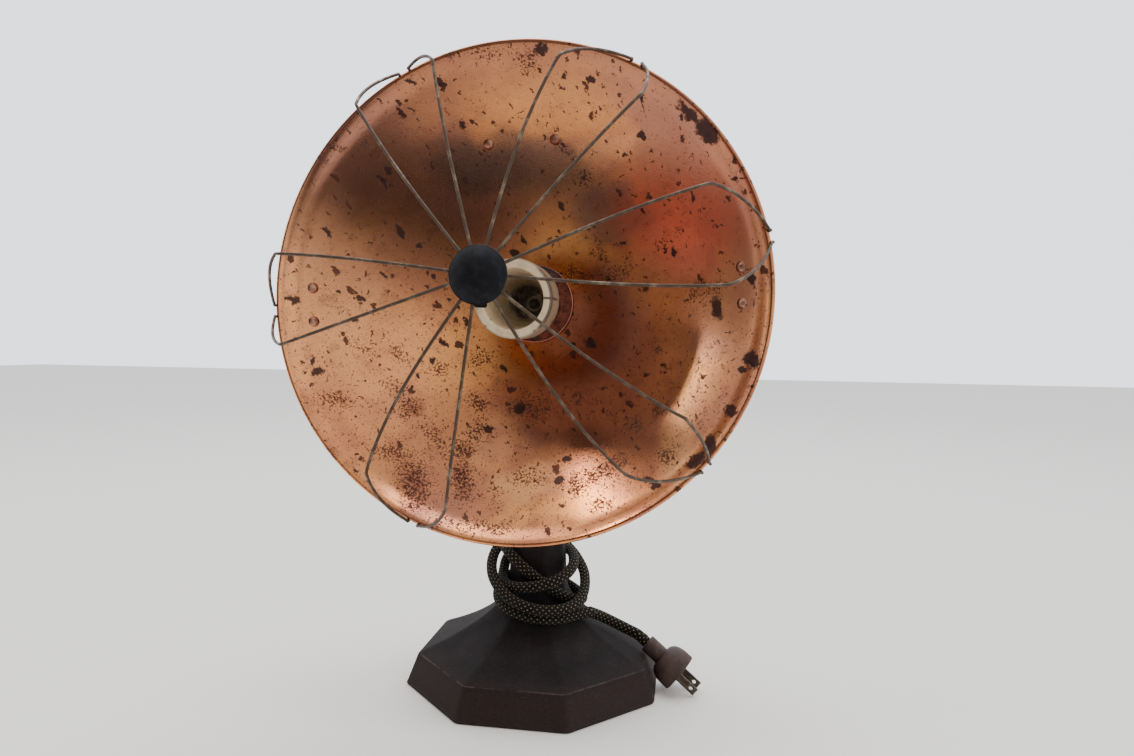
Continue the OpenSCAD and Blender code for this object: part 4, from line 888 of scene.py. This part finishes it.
def plug_body():
    """A flared moulding with a knurled band, hollow behind the recess that its disc lies in."""
    hole_r, recess_r, recess_z, neck_z = 3.2, 12.7, -1.55, PLUG_NECK_L - PLUG_L
    flare = [(mix(PLUG_NECK_R, PLUG_R, sin(90 * u)), mix(neck_z, -6, u * u))
             for u in np.linspace(0.08, 1, 12)]
    profile = ([(hole_r, -PLUG_L + 0.5), (PLUG_NECK_R - 1, -PLUG_L), (PLUG_NECK_R - 0.3, -PLUG_L + 0.3),
                (PLUG_NECK_R, -PLUG_L + 1.0)]
               + [(PLUG_NECK_R, z) for z in np.linspace(-PLUG_L + 3, neck_z, 5)] + flare
               + [(PLUG_R, z) for z in np.linspace(-5.6, -1.2, 6)]
               + [(PLUG_R - 0.3, -0.35), (PLUG_R - 1, 0), (recess_r + 0.2, 0), (recess_r, -0.2),
                  (recess_r, recess_z), (11, recess_z), (10, -16), (hole_r, -18)])

    def knurl(r, z, a):
        if z < -6.4 or z > -0.9 or r < PLUG_R - 0.5:
            return 0, 0
        return -KNURL_DEPTH * (0.5 + 0.5 * cos(a * KNURLS)), 0

    points, faces = lathe(profile, 384, knurl)
    return piece("plug_shell", points, faces, PLUG, "stand", MOULDING, ["plug_body"])


plug_shell = plug_body()

# Bowl: a spun dish, a little uneven, whose edge is rolled round a wire

BEAD_AXIS_Z = dish(DISH_EDGE_R) + 0.6


def bowl():
    """Inside from the collar's hole to the edge, round the bead, and back over the outside."""
    rolled_at, tucked_to, step = 133, -160, 13
    roll_r = BEAD_AXIS_R + BEAD_R * cos(rolled_at)
    lift = BEAD_AXIS_Z + BEAD_R * sin(rolled_at) - dish(roll_r)
    inner = [(r, dish(r) + lift * ease((r - roll_r + 9) / 9)) for r in np.linspace(BOWL_HOLE_R, roll_r, 64)]
    bead = [(BEAD_AXIS_R + BEAD_R * cos(a), BEAD_AXIS_Z + BEAD_R * sin(a))
            for a in range(rolled_at - step, tucked_to - 1, -step)]
    outer = [(r + SHEET * sin(dish_slope(r)), dish(r) - SHEET * cos(dish_slope(r)))
             for r in np.linspace(DISH_EDGE_R - 1.2, BOWL_HOLE_R + 0.4, 36)]

    def uneven(r, z, a):
        out = (r / RIM_R) ** 2
        bent = 0.16 * sin(2 * a + 30) + 0.10 * sin(5 * a + 80) * sin(r * 1.6)
        return 0, out * bent + 0.05 * sin(r * 4.5)

    points, faces = lathe(inner + bead + outer, 300, uneven)
    return piece("bowl_dish", points, faces, HEAD, "head", COPPER, ["bowl"], crease=60)


bowl()

# Guard: twelve wires from their hooks round the edge to the hub

# Each petal has the directions of its two bends and of its hooks, anticlockwise from +X as seen from
# the front, and how far each of its two wires bows sideways
PETALS = [
    (106.5, 129, 118, 1.5, 2.2), (51.5, 74, 62.5, 1.7, 4.7), (-0.5, 24, 12.5, -2.4, 2.4),
    (-53.5, -34, -41, -5.2, -3.2), (-123, -100.5, -113, -5.5, -0.5), (173, 196.5, 184.5, -1.5, 0)]
GUARD_SLOPE = (HUB_AHEAD - 0.8 - WIRE_R - BEND_AHEAD) / (BEND_R - HUB_R)
WIRE_LEVEL = BEND_AHEAD + GUARD_SLOPE * (BEND_R - HUB_ROOT_R)
HOOK_TURN_R = BEAD_R + WIRE_R + 0.3


def guard_wire(number, bend_angle, hook_angle, bow):
    """Its hook round the bead, a leg out to the bend, and a nearly straight run to the hub."""
    bend, root = around(BEND_R, bend_angle, BEND_AHEAD), around(HUB_ROOT_R, bend_angle, WIRE_LEVEL)
    aside = around(bow, bend_angle + 90, 0)
    hook = [around(BEAD_AXIS_R + HOOK_TURN_R * cos(a), hook_angle, BEAD_AXIS_Z + HOOK_TURN_R * sin(a))
            for a in range(-105, 46, 10)]
    rise_point = around(mix(BEND_R, BEAD_AXIS_R, 0.67), mix(hook_angle, bend_angle, 0.7),
                        mix(RIM_AHEAD, BEND_AHEAD, 0.61))
    leg = [hook[-1] * (1 - u)**2 + 2 * rise_point * u * (1 - u) + bend * u * u
           for u in np.arange(1, 20) / 20]
    before, after = mix(bend, rise_point, 0.02), mix(bend, root, 0.01)
    corner = [mix(bend, rise_point, 0.04), bend * 0.5 + before * 0.25 + after * 0.25]
    straight = [mix(bend, root, u) + aside * math.sin(math.pi * u**0.8)
                for u in np.linspace(0.02, 0.98, 33)]
    points, faces, _ = tube(hook + leg + corner + straight + [root], WIRE_R, 16, rounded_ends=True)
    return piece(f"round_wire_{number}", points, faces, HEAD, "head", WIRE,
                 [f"guard_wire_{number}"])


for index, (first, second, hook_middle, first_bow, second_bow) in enumerate(PETALS):
    guard_wire(2 * index + 1, first, hook_middle - HOOK_HALF, first_bow)
    guard_wire(2 * index + 2, second, hook_middle + HOOK_HALF, second_bow)


def hub():
    """The pressed cap over the wires' ends, its rim rolled in."""
    dome = (HUB_R**2 + HUB_H**2) / (2 * HUB_H)
    half = math.degrees(math.asin(HUB_R / dome))
    top = [(dome * sin(a), HUB_H - dome + dome * cos(a)) for a in np.linspace(0, half * 0.965, 26)]
    rim = [(HUB_R - 0.12, 0.5), (HUB_R, 0.1), (HUB_R - 0.02, -0.35), (HUB_R - 0.3, -0.6),
           (HUB_R - 0.75, -0.6), (HUB_R - 0.9, -0.3)]
    under = [((dome - 1) * sin(a), HUB_H - dome + (dome - 1) * cos(a))
             for a in np.linspace(half * 0.93, 0, 12)]
    points, faces = lathe(top + rim + under, 120)
    return piece("hub_cap", points, faces, HEAD @ move(0, 0, HUB_AHEAD), "head", CAP,
                 ["guard_hub"], crease=50)


hub()


def hub_plate():
    """The disc behind the cap that the wires' ends lie against, with its small tongue below."""
    front = WIRE_LEVEL - 1.03 * WIRE_R - 0.2
    drop_out = GUARD_SLOPE * (HUB_R - 1 - HUB_ROOT_R)
    points, faces = lathe([
        (2.1, front - 1.2), (HUB_ROOT_R, front - 1.2), (HUB_R - 1.4, front - drop_out * 0.95 - 1.2),
        (HUB_R - 1.1, front - drop_out - 1.0), (HUB_R - 1, front - drop_out - 0.6),
        (HUB_R - 1.1, front - drop_out - 0.2), (HUB_R - 1.4, front - drop_out * 0.95),
        (HUB_ROOT_R, front), (2.1, front)], 96)
    tongue = [(-3.7, 4), (3.7, 4), (3.7, 7.9), (3.3, 8.7), (2.5, 9.1),
              (-2.5, 9.1), (-3.3, 8.7), (-3.7, 7.9)]
    first = len(points)
    points += [(x + 1, -HUB_ROOT_R - s, front - GUARD_SLOPE * s - sunk)
               for sunk in (1.25, 0.05) for x, s in tongue]
    n = len(tongue)
    faces += [[first + k for k in range(n)], [first + n + k for k in range(n)][::-1]]
    faces += [[first + n + k, first + n + (k + 1) % n, first + (k + 1) % n, first + k] for k in range(n)]
    return piece("hub_plate", points, faces, HEAD, "head", ENAMEL, ["guard_plate"])


hub_plate()

# Foot and column: an eight-sided casting whose upper faces sweep up into the column

CORNER_STEPS = 8


def corner_ring(r, z, corner):
    """An eight-sided ring at height z, whose corners would lie at radius r but are rounded."""
    corner = min(corner, r * 0.3)
    middle = (r * cos(22.5) - corner) / cos(22.5)
    return [(middle * cos(22.5 + 45 * k) + corner * cos(22.5 + 45 * k + 45 * t),
             middle * sin(22.5 + 45 * k) + corner * sin(22.5 + 45 * k + 45 * t), z)
            for k in range(8) for t in np.linspace(-0.5, 0.5, CORNER_STEPS)]


def foot_casting():
    """Levels from inside the foot's rim, over it and up to the seat, cut square to the yoke's bolt."""
    cover_edge_r = BASE_R - CAST_WALL - 3
    levels = [(COVER_T, cover_edge_r), (0.3, cover_edge_r), (0, cover_edge_r + 0.4), (0, BASE_R - 1.6),
              (0.3, BASE_R - 0.8), (1.2, BASE_R - 0.25), (2.4, cast_r(2.4))]
    levels += [(z, cast_r(z)) for z in np.linspace(5, SKIRT_H - 2, 6)]
    levels += [(SKIRT_H - 1.1, cast_r(SKIRT_H - 1.1) - 0.1), (SKIRT_H - 0.45, SKIRT_R - 0.15),
               (SKIRT_H + 0.02, SKIRT_R - 0.65), (SKIRT_H + 0.3, cast_r(SKIRT_H + 0.3) - 0.35)]
    levels += [(z, cast_r(z)) for z in np.linspace(SKIRT_H + 1.2, FLARE_H, 26)]
    levels += [(z, cast_r(z)) for z in np.linspace(FLARE_H, PIVOT[2] - YOKE_R + 4, 10)[1:]]
    rings = [corner_ring(r, z, CORNER_R) for z, r in levels]
    seat = YOKE[:3, 3] + YOKE[:3, 2] * (YOKE_R + YOKE_T / 2)
    top = [(x, y, seat[2] - ((x - seat[0]) * YOKE[0, 2] + (y - seat[1]) * YOKE[1, 2]) / YOKE[2, 2])
           for x, y, _ in rings[-1]]
    rings[-1] = [(x, y, z - 0.5) for x, y, z in top]
    rings.append([(x * 0.98, y * 0.98, z) for x, y, z in top])
    points = [p for ring in rings for p in ring]
    return piece("foot_casting", points, skin(len(rings), len(rings[0])), WORLD, "stand", PAINT,
                 ["base_casting"], crease=50)


foot_casting()

# CAD nodes whose shape stays

KEPT = {
    "base_cover": BOARD, "yoke": STRAP_PAINT, "yoke_bolt": STEEL, "yoke_washer": STEEL,
    "pivot_washers": STEEL, "thumb_screw_left": BRASS, "thumb_screw_right": BRASS, "rim_wire": WIRE,
    "pivot_bracket_left": STRAP_PAINT, "pivot_bracket_right": STRAP_PAINT, "bracket_rivets": RIVET,
    "pivot_nuts": STEEL, "handle_strap": STRAP_PAINT, "handle_rivets": RIVET, "handle_rod": WIRE,
    "handle_grip": WOOD, "socket_collar": RED_COPPER, "collar_screws": DARK_STEEL,
    "socket_body": PORCELAIN, "screw_shell": SHELL, "centre_contact": SHELL, "terminal_screws": BRASS,
    "socket_leads": BRAID, "rear_cover": STRAP_PAINT, "cord_bushing": BUSHING, "guard_stud": STEEL,
    "plug_disc": BOARD, "plug_blades": BLADE}
for name, material in KEPT.items():
    mesh = nodes[name].data
    mesh.materials.clear()
    mesh.materials.append(material)
